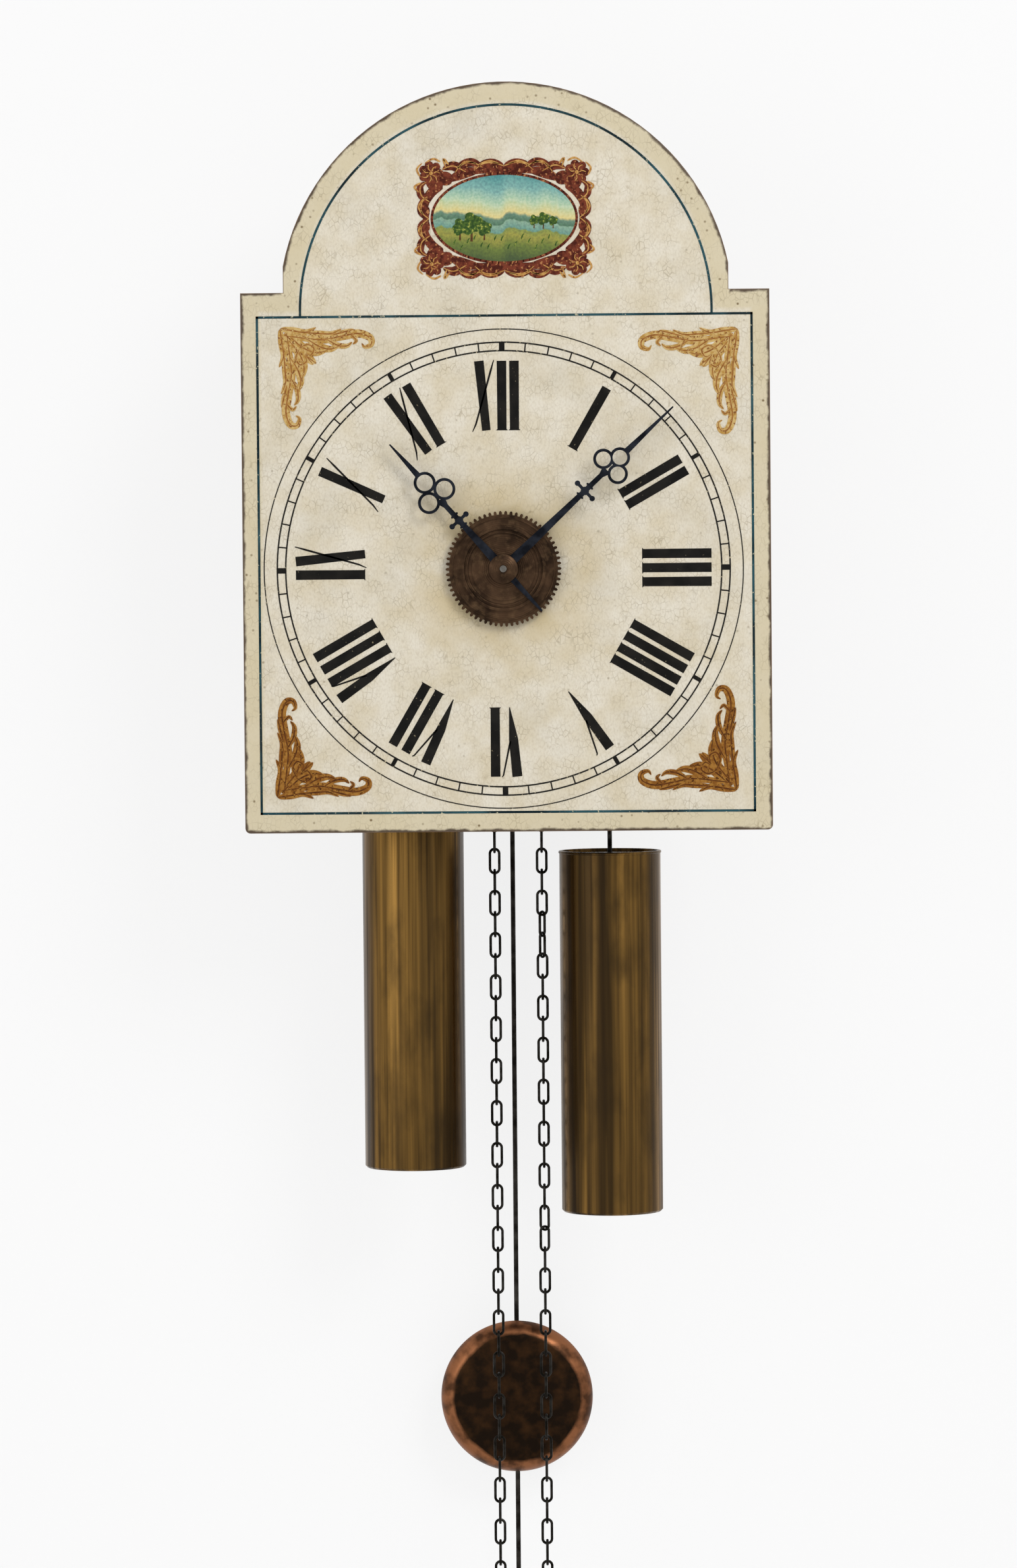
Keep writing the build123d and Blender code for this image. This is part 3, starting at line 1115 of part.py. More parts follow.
# Bell: cast dome on the case, hidden behind the arch
BELL_WALL = 1.6
BELL_FLAT = 5.0
with BuildPart() as bell:
    with BuildSketch(Plane(origin=(BELL_AT[0], BELL_AT[1], 0), x_dir=(1, 0, 0), z_dir=(0, -1, 0))):
        with BuildLine():
            crown_foot = BELL_CROWN - BELL_WALL
            shoulder = (BELL_RADIUS - 7.2, BELL_CROWN - 6.4)
            ThreePointArc((BELL_RADIUS, BELL_RIM), shoulder, (BELL_FLAT, BELL_CROWN))
            Polyline(
                (BELL_FLAT, BELL_CROWN),
                (POST_OF_BELL, BELL_CROWN),
                (POST_OF_BELL, crown_foot),
                (BELL_FLAT, crown_foot),
            )
            ThreePointArc(
                (BELL_FLAT, crown_foot),
                (BELL_RADIUS - 8.2, crown_foot - 6.2),
                (BELL_RADIUS - BELL_WALL, BELL_RIM),
            )
            Line((BELL_RADIUS - BELL_WALL, BELL_RIM), (BELL_RADIUS, BELL_RIM))
        make_face()
    revolve(axis=Axis((BELL_AT[0], BELL_AT[1], 0), (0, 0, 1)))
bell.part.label = "bell"
export_step(bell.part, "parts/bell.step")

# Bell stand: iron post in the top board with a shoulder below the bell and a nut above it
with BuildPart() as bell_stand:
    with BuildSketch(Plane.XY.offset(CEILING)):
        with Locations(BELL_AT):
            Circle(POST_OF_BELL)
    extrude(amount=BELL_CROWN + 5.0 - CEILING)
    for foot, radius, thickness in ((CASE_TOP, 6.0, 1.5), (BELL_CROWN - BELL_WALL - 3.0, 4.0, 3.0)):
        with BuildSketch(Plane.XY.offset(foot)):
            with Locations(BELL_AT):
                Circle(radius)
        extrude(amount=thickness)
    with BuildSketch(Plane.XY.offset(BELL_CROWN)):
        with Locations(BELL_AT):
            RegularPolygon(4.5, 4)
    extrude(amount=3.0)
bell_stand.part.label = "bell_stand"
export_step(bell_stand.part, "parts/bell_stand.step")

# One chain link along +Z in the plane of the dial
with BuildPart() as link:
    bend = LINK_HALF_WIDTH - LINK_WIRE
    straight = (LINK_PITCH + LINK_SLACK) / 2 + LINK_WIRE - bend
    with BuildLine() as loop:
        Line((-bend, 0, -straight), (-bend, 0, straight))
        ThreePointArc((-bend, 0, straight), (0, 0, straight + bend), (bend, 0, straight))
        Line((bend, 0, straight), (bend, 0, -straight))
        ThreePointArc((bend, 0, -straight), (0, 0, -straight - bend), (-bend, 0, -straight))
    with BuildSketch(Plane(origin=(-bend, 0, -straight), x_dir=(1, 0, 0), z_dir=(0, 0, 1))):
        Circle(LINK_WIRE)
    sweep(path=loop.wires()[0])


def placed_link(x, z, spin, lean):
    """Copy of the link at (x, z above the hand arbor), spun and leaned in the dial's plane."""
    return Pos(x, CHAIN_Y, height(z)) * Rot(0, lean, 0) * Rot(0, 0, spin) * link.part


def ring_of_wire(x, z, radius, wire, in_dial_plane):
    """Closed ring of wire, made outside any builder."""
    turn = Rot(90, 0, 0) if in_dial_plane else Rot(0, 90, 0)
    return Pos(x, CHAIN_Y, height(z)) * turn * Torus(radius, wire)


def straight_run(x, count, first_spin, twisted):
    """Hanging run of links below the sprocket. A twisted link turns 60 degrees from the last, not 90."""
    run = []
    spin = first_spin
    for number in range(count):
        if number:
            spin += 60 if number in twisted else 90
        run.append(placed_link(x, GREAT_Z - LINK_PITCH * (number + 0.5), spin, 0))
    return run


GOING_TWIST = (14, 15, 16, 28, 29, 30)
END_RING = 5.5
END_WIRE = 1.0
last_free = GREAT_Z - LINK_PITCH * (FREE_LINKS - 0.5)
end_ring_z = last_free - (LINK_PITCH + LINK_SLACK) / 2 + END_WIRE + 0.1 - END_RING

# Free side of the strike chain, with the ring that stops it running out
strike_free_x = CHAIN_PLACES[1][0]
strike_end_ring = ring_of_wire(strike_free_x, end_ring_z, END_RING, END_WIRE, False)
with BuildPart() as strike_chain_free_side:
    add(straight_run(strike_free_x, FREE_LINKS, 90, ()))
    add(strike_end_ring)
strike_chain_free_side.part.label = "strike_chain_free_side"
export_step(strike_chain_free_side.part, "parts/strike_chain_free_side.step")

# Free side of the going chain, twisted in two places as it hangs
going_free_x = CHAIN_PLACES[2][0]
going_end_ring = ring_of_wire(going_free_x, end_ring_z, END_RING, END_WIRE, False)
with BuildPart() as going_chain_free_side:
    add(straight_run(going_free_x, FREE_LINKS, 90, GOING_TWIST))
    add(going_end_ring)
going_chain_free_side.part.label = "going_chain_free_side"
export_step(going_chain_free_side.part, "parts/going_chain_free_side.step")

# Weight sides of the two chains
strike_weight_x = CHAIN_PLACES[0][0]
with BuildPart() as strike_chain_weight_side:
    add(straight_run(strike_weight_x, STRIKE_WEIGHT_LINKS, 0, ()))
strike_chain_weight_side.part.label = "strike_chain_weight_side"
export_step(strike_chain_weight_side.part, "parts/strike_chain_weight_side.step")
going_weight_x = CHAIN_PLACES[3][0]
with BuildPart() as going_chain_weight_side:
    add(straight_run(going_weight_x, GOING_WEIGHT_LINKS, 90, ()))
going_chain_weight_side.part.label = "going_chain_weight_side"
export_step(going_chain_weight_side.part, "parts/going_chain_weight_side.step")


def wrapped_links(at, wrap, free_is_right):
    """Links that lie over a sprocket, counted from the free side."""
    junction = LINK_PITCH / 2 / sin(pi / 2 / wrap)
    middle = junction * cos(pi / 2 / wrap) - WRAP_SLACK
    run = []
    for number in range(wrap):
        angle = 180 * (number + 0.5) / wrap
        if not free_is_right:
            angle = 180 - angle
        x = at[0] + middle * cos(radians(angle))
        z = at[1] + middle * sin(radians(angle))
        run.append(placed_link(x, z, 0 if number % 2 == 0 else 90, -angle))
    return run


# Chain over the sprockets
with BuildPart() as chain_over_sprockets:
    add(wrapped_links(STRIKE_AT, STRIKE_WRAP, True))
    add(wrapped_links(GOING_AT, GOING_WRAP, False))
chain_over_sprockets.part.label = "chain_over_sprockets"
export_step(chain_over_sprockets.part, "parts/chain_over_sprockets.step")


# Weights: brass shells hung from the chains by iron eyes
def hook_centre(count):
    """Height above the hand arbor of the eye that hangs in the last link."""
    last = GREAT_Z - LINK_PITCH * (count - 0.5)
    return last - (LINK_PITCH + LINK_SLACK) / 2 - EYE_RADIUS + EYE_WIRE + 0.1


STRIKE_RIM = 5.4
GOING_RIM = 7.2
LID_DROP = 1.6
LID_THICKNESS = 1.2
BEAD = 0.7


def weight_shell(x, count, rim_below_eye):
    """Brass tube with a rolled bead at the top, a sunk lid with a hole for the eye and a closed foot."""
    top = height(hook_centre(count) - rim_below_eye)
    foot = top - WEIGHT_LENGTH
    inner = WEIGHT_RADIUS - WEIGHT_WALL
    lid_top = top - LID_DROP
    lid_foot = lid_top - LID_THICKNESS
    with BuildSketch(Plane(origin=(x, CHAIN_Y, 0), x_dir=(1, 0, 0), z_dir=(0, -1, 0))) as profile:
        with BuildLine():
            under_bead = (WEIGHT_RADIUS, top - 2 * BEAD)
            bead_edge = (WEIGHT_RADIUS + BEAD * 0.6, top - BEAD)
            rim = WEIGHT_RADIUS - 1.4
            Polyline((0, foot), (WEIGHT_RADIUS - 1.0, foot), (WEIGHT_RADIUS, foot + 1.0), under_bead)
            ThreePointArc(under_bead, bead_edge, (WEIGHT_RADIUS, top))
            Polyline((WEIGHT_RADIUS, top), (rim, top), (rim, lid_top), (EYE_WIRE, lid_top))
            Polyline((EYE_WIRE, lid_top), (EYE_WIRE, lid_foot), (inner, lid_foot))
            Line((inner, lid_foot), (inner, foot + WEIGHT_WALL))
            Polyline((inner, foot + WEIGHT_WALL), (0, foot + WEIGHT_WALL), (0, foot))
        make_face()
    revolve(profile.sketch, axis=Axis((x, CHAIN_Y, 0), (0, 0, 1)))


def weight_shank(x, count, rim_below_eye):
    """Shank of a weight's eye, through the lid, and the washer under it."""
    centre = hook_centre(count)
    lid_foot = height(centre - rim_below_eye) - LID_DROP - LID_THICKNESS
    rod(Plane((x, CHAIN_Y, lid_foot - 4.0)), EYE_WIRE, height(centre) - EYE_RADIUS - lid_foot + 4.0)
    rod(Plane((x, CHAIN_Y, lid_foot - 2.0)), 5.0, 2.0)


with BuildPart() as left_weight_shell:
    weight_shell(strike_weight_x, STRIKE_WEIGHT_LINKS, STRIKE_RIM)
left_weight_shell.part.label = "left_weight_shell"
export_step(left_weight_shell.part, "parts/left_weight_shell.step")
left_eye = ring_of_wire(strike_weight_x, hook_centre(STRIKE_WEIGHT_LINKS), EYE_RADIUS, EYE_WIRE, True)
with BuildPart() as left_weight_hook:
    add(left_eye)
    weight_shank(strike_weight_x, STRIKE_WEIGHT_LINKS, STRIKE_RIM)
left_weight_hook.part.label = "left_weight_hook"
export_step(left_weight_hook.part, "parts/left_weight_hook.step")
with BuildPart() as right_weight_shell:
    weight_shell(going_weight_x, GOING_WEIGHT_LINKS, GOING_RIM)
right_weight_shell.part.label = "right_weight_shell"
export_step(right_weight_shell.part, "parts/right_weight_shell.step")
right_eye = ring_of_wire(going_weight_x, hook_centre(GOING_WEIGHT_LINKS), EYE_RADIUS, EYE_WIRE, False)
with BuildPart() as right_weight_hook:
    add(right_eye)
    weight_shank(going_weight_x, GOING_WEIGHT_LINKS, GOING_RIM)
right_weight_hook.part.label = "right_weight_hook"
export_step(right_weight_hook.part, "parts/right_weight_hook.step")
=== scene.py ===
# %% [markdown]
# A shield clock hangs on a nail: a painted board in front, a small wooden case with the brass wheels
# behind it, two weights on chains and a pendulum below. It could all be modelled again here, but the
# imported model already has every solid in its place. So this lesson dresses those solids and adds what
# a brush added to the real board: numerals, rings, stripes, corner ornaments and a small picture.

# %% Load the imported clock
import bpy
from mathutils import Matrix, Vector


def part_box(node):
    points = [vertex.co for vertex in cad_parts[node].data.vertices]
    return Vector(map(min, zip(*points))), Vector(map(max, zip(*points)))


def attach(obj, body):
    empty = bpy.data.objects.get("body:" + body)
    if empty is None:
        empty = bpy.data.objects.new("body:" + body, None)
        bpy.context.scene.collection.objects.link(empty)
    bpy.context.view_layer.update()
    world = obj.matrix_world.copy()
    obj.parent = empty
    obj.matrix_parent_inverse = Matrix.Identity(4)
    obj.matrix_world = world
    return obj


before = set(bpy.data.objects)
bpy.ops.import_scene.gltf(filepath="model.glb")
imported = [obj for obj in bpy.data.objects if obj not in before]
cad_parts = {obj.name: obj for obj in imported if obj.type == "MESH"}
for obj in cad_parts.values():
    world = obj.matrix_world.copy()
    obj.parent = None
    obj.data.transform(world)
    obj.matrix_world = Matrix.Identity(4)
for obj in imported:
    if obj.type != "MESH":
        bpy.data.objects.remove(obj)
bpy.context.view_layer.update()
print("solids to dress:", len(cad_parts))

# %% [markdown]
# Brushwork is measured in millimetres and Blender works in metres, so one unit joins the two. The face
# that the paint lies on could be typed in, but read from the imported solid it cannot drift. The arbor of
# the hands is 98 mm under the hanging eye, and all the brushwork is placed from it.

# %% Units and the places to work from
import math

import bmesh
import bpy
from mathutils import Matrix, Vector
from mathutils.geometry import interpolate_bezier

MM = 0.001
HAND_ARBOR = Vector((0.0, 0.0, -0.098))
BOARD_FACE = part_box("dial_shield")[0].y
print("board face at y", round(BOARD_FACE, 4))

# %% [markdown]
# Colours are easiest to pick as the hex numbers of a paint chart, but Blender mixes light in linear
# numbers. One function turns the first into the second, so no colour is ever typed in linear form.

# %% Turn a hex colour to linear
def tint(code):
    """Linear colour, with full cover, of a hex colour such as #E6DCC8, by the sRGB formula."""
    parts = [int(code[i:i + 2], 16) / 255 for i in (1, 3, 5)]
    linear = [p / 12.92 if p <= 0.04045 else ((p + 0.055) / 1.055) ** 2.4 for p in parts]
    return (*linear, 1.0)


print("cream is", [round(part, 3) for part in tint("#E6DCC8")])

# %% [markdown]
# Every finish is a small tree of nodes. Built by hand in the editor it could not be read again here, so
# one function adds a node: properties by name, and each socket with either a value or a link.

# %% Add a node
def add_node(tree, kind, sockets=None, **settings):
    """Adds a shader node of that kind, sets its properties, and gives each socket its value or link."""
    node = tree.nodes.new("ShaderNode" + kind)
    for name, value in settings.items():
        setattr(node, name, value)
    for name, value in (sockets or {}).items():
        if isinstance(value, bpy.types.NodeSocket):
            tree.links.new(value, node.inputs[name])
        else:
            node.inputs[name].default_value = value
    return node


SHARE, UNDER, OVER, BLEND = 0, 6, 7, 2
print("a colour Mix takes sockets", (SHARE, UNDER, OVER), "and gives", BLEND)

# %% [markdown]
# Each finish starts the same way, with a shader and the place of each point on the object in metres, and
# ends the same way, with a colour and a relief. Place is read from the object rather than from a UV map,
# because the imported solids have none, and because a pattern then keeps its real size on every solid.

# %% Start and end a finish
def start_finish(name, roughness, metallic=0.0):
    """New material: returns it, its tree, its shader and the object coordinates."""
    finish = bpy.data.materials.new(name)
    finish.use_nodes = True
    tree = finish.node_tree
    shader = tree.nodes["Principled BSDF"]
    shader.inputs["Roughness"].default_value = roughness
    shader.inputs["Metallic"].default_value = metallic
    return finish, tree, shader, add_node(tree, "TexCoord").outputs["Object"]


def end_finish(tree, shader, colour, height, depth_mm, strength, roughness=None):
    """Gives the shader its colour, a relief of depth_mm and, where it changes, its roughness."""
    bump = add_node(tree, "Bump", {"Strength": strength, "Distance": depth_mm * MM,
                                   "Height": height})
    tree.links.new(bump.outputs[0], shader.inputs["Normal"])
    tree.links.new(colour, shader.inputs["Base Color"])
    if roughness is not None:
        tree.links.new(roughness, shader.inputs["Roughness"])


print("finishes start with a shader and end with a relief")

# %% [markdown]
# Age never falls evenly: dirt, wear and patina come in soft patches. A painted image could hold them,
# but noise has no seams and no last pixel. The first helper makes a mask of patches whose size is given
# in millimetres. The second measures how far a point is from a line through the clock from front to
# back, for all that is round: the arch, the ring of dirt round the disc, and the bob.

# %% Patches and radii
def patches(tree, place, size_mm, low, high, stretch=(1, 1, 1), detail=4.0, most=1.0):
    """Mask from 0 to most of soft patches about size_mm wide, longer along an axis that is stretched."""
    spread = add_node(tree, "Mapping", {"Scale": [1 / s for s in stretch], "Vector": place})
    cloud = add_node(tree, "TexNoise", {"Scale": 1 / (size_mm * MM), "Detail": detail,
                                        "Vector": spread.outputs[0]})
    return add_node(tree, "MapRange", {"From Min": low, "From Max": high, "To Max": most,
                                       "Value": cloud.outputs[0]}).outputs[0]


def radius_about(tree, place, centre):
    """Distance in metres from the line that runs from front to back through centre."""
    flat = add_node(tree, "Mapping", {"Scale": (1, 0, 1), "Vector": place}).outputs[0]
    return add_node(tree, "VectorMath", {0: flat, 1: (centre[0], 0, centre[2])},
                    operation="DISTANCE").outputs["Value"]


print("patches of 10 mm take a noise scale of", round(1 / (10 * MM)))

# %% [markdown]
# The board is softwood with a ground of chalk and glue, painted cream and varnished. Its edge is what
# gets worn and where a painted shade lies, so the finish has to know how far in a point is. That could
# be painted on, but the outline is simple: a rectangle and an arch. How far a point is inside each is
# measured, and the larger of the two is how far it is from the edge of the whole board.

# %% How far in from the board's edge
BOARD_MIDDLE, BOARD_HALF = (0.0015, 0.0, -0.09455), (0.125, 0.0, 0.12785)
ARCH_MIDDLE, ARCH_RADIUS = (0.002, 0.0, 0.0246), 0.1073
lacquer, tree, shader, place = start_finish("aged_cream_lacquer", 0.46)
from_middle = add_node(tree, "VectorMath", {0: place, 1: BOARD_MIDDLE}, operation="SUBTRACT")
off_middle = add_node(tree, "VectorMath", {0: from_middle.outputs[0]}, operation="ABSOLUTE")
to_sides = add_node(tree, "VectorMath", {0: BOARD_HALF, 1: off_middle.outputs[0]},
                    operation="SUBTRACT")
gaps = add_node(tree, "SeparateXYZ", {0: to_sides.outputs[0]}).outputs
in_rectangle = add_node(tree, "Math", {0: gaps[0], 1: gaps[2]}, operation="MINIMUM")
in_arch = add_node(tree, "Math", {0: ARCH_RADIUS, 1: radius_about(tree, place, ARCH_MIDDLE)},
                   operation="SUBTRACT")
from_edge = add_node(tree, "Math", {0: in_rectangle.outputs[0], 1: in_arch.outputs[0]},
                     operation="MAXIMUM").outputs[0]
print("board", 2 * BOARD_HALF[0] / MM, "mm wide, arch", 2 * ARCH_RADIUS / MM, "mm across")

# %% [markdown]
# Old varnish yellows in clouds, goes greyer where it is thin, and shows the grain of the ground. The
# border outside the stripe and the ring where fingers set the alarm are browner. One mixed texture
# could stand for all of it, but a list of coats, each a mask with its colour, lets any one be changed.

# %% Stains of the cream
CREAM = "#EBE3D1"
in_border = add_node(tree, "MapRange", {"From Min": 0.0102, "From Max": 0.0082,
                                        "Value": from_edge}).outputs[0]
border_brown = add_node(tree, "Math", {0: in_border, 1: 0.75}, operation="MULTIPLY").outputs[0]
near_disc = add_node(tree, "MapRange", {
    "From Min": 0.056, "From Max": 0.024, "Value": radius_about(tree, place, HAND_ARBOR)}).outputs[0]
smudge = add_node(tree, "Math", {0: near_disc, 1: patches(tree, place, 22, 0.3, 0.62)},
                  operation="MULTIPLY").outputs[0]
coats = [(patches(tree, place, 16, 0.38, 0.66), "#DFD3B8"),
         (patches(tree, place, 30, 0.5, 0.75, most=0.45), "#D3CDBE"),
         (patches(tree, place, 0.9, 0.42, 0.7, (1, 1, 1.6), 2.0, 0.22), "#A8946C"),
         (border_brown, "#D8CAA6"), (smudge, "#CDB98C")]
print(len(coats), "stains over", CREAM)

# %% [markdown]
# The varnish has cracked into a fine net that holds dirt, and flies and soot have left specks. Cracks
# could be cut into the mesh, but they are far thinner than a face, so a Voronoi pattern draws both: the
# edges of its cells are the net and their middles are the specks. Noise then hides most of the net.

# %% Net of cracks, and specks of dirt
NET_PER_METRE, SPECKS_PER_METRE = 460.0, 210.0  # a net 2.2 mm wide, as coarse as it needs to show
net_place = add_node(tree, "Mapping", {"Scale": (1.0, 1.0, 0.7), "Vector": place}).outputs[0]
net = add_node(tree, "TexVoronoi", {"Scale": NET_PER_METRE, "Vector": net_place},
               feature="DISTANCE_TO_EDGE").outputs["Distance"]
crack = add_node(tree, "MapRange", {"From Min": 0.09, "From Max": 0.0, "Value": net}).outputs[0]
dirty_crack = add_node(tree, "Math", {0: crack, 1: patches(tree, place, 9, 0.42, 0.72)},
                       operation="MULTIPLY").outputs[0]
crack_brown = add_node(tree, "Math", {0: dirty_crack, 1: 0.55}, operation="MULTIPLY").outputs[0]
dots = add_node(tree, "TexVoronoi", {"Scale": SPECKS_PER_METRE, "Vector": place})
speck = add_node(tree, "MapRange", {"From Min": 0.17, "From Max": 0.06, "To Max": 0.6,
                                    "Value": dots.outputs["Distance"]}).outputs[0]
speck_share = add_node(tree, "Math", {0: patches(tree, place, 13, 0.45, 0.7), 1: in_border},
                       operation="ADD").outputs[0]
speck_brown = add_node(tree, "Math", {0: speck, 1: speck_share}, operation="MULTIPLY").outputs[0]
coats += [(crack_brown, "#8C7A55"), (speck_brown, "#75603A")]
print("cracks every", round(1 / (NET_PER_METRE * MM), 1), "mm")

# %% [markdown]
# At the very edge a dark brown band, in a line that wanders by a millimetre or two, is partly paint
# knocked off down to brown wood and partly painted shade along the board's edge. Behind its front face
# the board was never painted. Two materials on one solid could show that, but depth alone can tell front
# from back, so the last mix goes by the distance behind the face.

# %% Worn edge with painted shade, bare back, and all coats laid
ragged = patches(tree, place, 5, 0.2, 0.8, most=1.6 * MM)
edge_wear_and_shade = add_node(tree, "Math", {0: from_edge, 1: ragged}, operation="SUBTRACT").outputs[0]
# Dark brown band at the edge: partly worn paint, partly painted shade of the board's edge.
coats += [(add_node(tree, "MapRange", {"From Min": 0.0009, "From Max": -0.0001,
                                       "Value": edge_wear_and_shade}).outputs[0], "#4B3A26")]
painted = tint(CREAM)
for mask, code in coats:
    painted = add_node(tree, "Mix", {SHARE: mask, UNDER: painted, OVER: tint(code)},
                       data_type="RGBA").outputs[BLEND]
depth = add_node(tree, "SeparateXYZ", {0: place}).outputs[1]
behind = add_node(tree, "MapRange", {"From Min": BOARD_FACE + 0.1 * MM,
                                     "From Max": BOARD_FACE + 0.4 * MM, "Value": depth}).outputs[0]
board_wood = add_node(tree, "Mix", {
    SHARE: patches(tree, place, 4, 0.35, 0.65, (1, 1, 14)), UNDER: tint("#5E4630"), OVER: tint("#80623F")},
    data_type="RGBA").outputs[BLEND]
whole = add_node(tree, "Mix", {SHARE: behind, UNDER: painted, OVER: board_wood}, data_type="RGBA")
height = add_node(tree, "Math", {0: patches(tree, place, 5, 0.2, 0.8), 1: dirty_crack},
                  operation="SUBTRACT").outputs[0]
# Varnish over chalk gives the eye a satin skin that is softly uneven and split along the net.
end_finish(tree, shader, whole.outputs[BLEND], height, 0.08, 0.5)
print("lacquer has", len(coats), "coats")

# %% [markdown]
# The brushwork is thin oil paint, rubbed by a century of dusting. It could be a flat colour, but real
# brushwork is darker where the brush was full and lets the ground through where it is rubbed. So each
# paint has two tones and a third for its worn flecks, and one function mixes them all.

# %% Mix a paint
def brushed_paint(name, deep, light, rubbed, size_mm, wear):
    """Paint in two tones with worn flecks, patches about size_mm wide, wear from 0 to 1."""
    finish, tree, shader, place = start_finish(name, 0.62)
    shader.inputs["Specular IOR Level"].default_value = 0.1
    body = add_node(tree, "Mix", {
        SHARE: patches(tree, place, size_mm, 0.4, 0.6), UNDER: tint(deep), OVER: tint(light)},
        data_type="RGBA")
    fleck = patches(tree, place, 1.4, 0.78 - 0.2 * wear, 0.84 - 0.2 * wear, detail=2.0)
    worn = add_node(tree, "Mix", {SHARE: fleck, UNDER: body.outputs[BLEND], OVER: tint(rubbed)},
                    data_type="RGBA")
    end_finish(tree, shader, worn.outputs[BLEND], fleck, 0.03, 0.4)
    return finish


# Oil black laid with a full brush: dense and matt, with few flecks. In a thin line it wears through.
figure_black = brushed_paint("figure_black_oil_paint", "#100F0D", "#1D1B18", "#8D8268", 9, 0.35)
line_black = brushed_paint("line_black_oil_paint", "#191817", "#2B2A26", "#B5AA8C", 6, 0.7)
# Prussian blue let down with black: it turns green where it is thin.
stripe_blue = brushed_paint("stripe_blue_oil_paint", "#14262B", "#2F545C", "#B9B79C", 24, 0.65)
print("oil paints ready")

# %% [markdown]
# The ornaments were printed with size and dusted with bronze powder, then varnished. Bronze powder in a
# film is too dull for a metal shader, whose reflections would be far too strong, so these are paints
# with very small patches, about as wide as the clots of powder that the eye sees.

# %% Bronze prints and the colours of the picture
# Light bronze above has gone ochre, dark bronze below has gone brown, and the veins are its size line.
bronze_upper = brushed_paint("bronze_print_ochre", "#B98E49", "#D4B475", "#8A5A30", 1.6, 1.0)
bronze_lower = brushed_paint("bronze_print_brown", "#87551F", "#A87634", "#55300F", 1.6, 1.0)
vein_upper = brushed_paint("bronze_print_vein", "#8F5A2C", "#A8743C", "#D4B475", 2.5, 0.8)
vein_lower = brushed_paint("bronze_print_vein_dark", "#4E2A10", "#6B3D18", "#A87634", 2.5, 0.8)
# Red-brown scrolls with a gold edge stand out of the cream as the richest colour on the board.
scroll_red = brushed_paint("scroll_frame_red_brown", "#4A1D14", "#7A3B28", "#B57B4E", 2.0, 0.9)
scroll_gold = brushed_paint("scroll_frame_gold_edge", "#B07A3E", "#D0A25E", "#6B2F1D", 1.5, 0.8)
# Leaves dabbed in two greens, and bark in two browns, read as foliage from a step away.
leaf_green = brushed_paint("picture_leaf_green", "#2F4A24", "#55702F", "#A9AD52", 1.4, 0.9)
bark_brown = brushed_paint("picture_bark_brown", "#4A3420", "#6B4C2B", "#9A7B48", 1.5, 0.5)
print("prints ready")

# %% [markdown]
# The small picture is a plain landscape of this lesson's own: sky that pales to the horizon, far hills,
# a lake and a meadow. It could be modelled in strips, but soft distances blend. So the height in the
# oval picks a colour from a ramp, and noise bends each boundary as a hill line does.

# %% Height in the landscape
PICTURE = Vector((1.7, 165.5))
PICTURE_RISE = 20.5
landscape, tree, shader, place = start_finish("oval_landscape_paint", 0.4)
picture_place = add_node(tree, "Mapping", {
    "Location": (-PICTURE.x / PICTURE_RISE, 0, -(HAND_ARBOR.z / MM + PICTURE.y) / PICTURE_RISE),
    "Scale": (1 / (PICTURE_RISE * MM), 1, 1 / (PICTURE_RISE * MM)), "Vector": place}).outputs[0]
picture_axes = add_node(tree, "SeparateXYZ", {0: picture_place}).outputs
hill_line = add_node(tree, "TexNoise", {"Scale": 1.6, "Detail": 3.0, "W": picture_axes[0]},
                     noise_dimensions="1D").outputs[0]
leaning = add_node(tree, "Math", {0: picture_axes[0], 1: 0.06, 2: picture_axes[2]},
                   operation="MULTIPLY_ADD").outputs[0]
level = add_node(tree, "Math", {0: hill_line, 1: -0.55, 2: leaning}, operation="MULTIPLY_ADD")
on_ramp = add_node(tree, "Math", {0: level.outputs[0], 1: 0.5, 2: 0.62},
                   operation="MULTIPLY_ADD").outputs[0]
print("picture centre", tuple(PICTURE), "mm from the arbor")

# %% [markdown]
# A painter would lay these bands wet and then dab over them. The ramp holds the bands, from the meadow
# at the foot to the sky at the top, and an Overlay mix adds the dabs, since it lightens and darkens
# what is there and needs no second set of colours.

# %% Colours of the landscape
BANDS = [(0.0, "#3E5523"), (0.16, "#6C7F2E"), (0.27, "#A3A044"), (0.335, "#8C9A4A"), (0.35, "#6FA29A"),
         (0.43, "#93B9A6"), (0.445, "#4F7A62"), (0.5, "#6D9480"), (0.53, "#E5D79C"), (0.66, "#C9D9C2"),
         (0.82, "#86BDBD"), (1.0, "#4E9AA2")]
ramp = add_node(tree, "ValToRGB", {0: on_ramp})
bands = ramp.color_ramp.elements
bands.remove(bands[0])
bands[0].position, bands[0].color = BANDS[0][0], tint(BANDS[0][1])
for position, code in BANDS[1:]:
    bands.new(position).color = tint(code)
dabs = patches(tree, place, 1.2, 0.35, 0.65)
dab_grey = add_node(tree, "Mix", {SHARE: dabs, UNDER: tint("#5A5A4A"), OVER: tint("#BFBBA0")},
                    data_type="RGBA").outputs[BLEND]
dabbed = add_node(tree, "Mix", {SHARE: 0.45, UNDER: ramp.outputs[0], OVER: dab_grey},
                  data_type="RGBA", blend_type="OVERLAY").outputs[BLEND]
# Printed paint under varnish gives the eye clear colours with a slight gloss and small dabs.
end_finish(tree, shader, dabbed, dabs, 0.03, 0.4)
print("landscape has", len(BANDS), "tones")

# %% [markdown]
# The metals are old and dull. A patina could be a layer of dirt on a bright metal, but it changes the
# metal's own colour and scatters its shine in the same places. So one mask of patches drives both the
# colour and the roughness, and small pits catch the light between them.

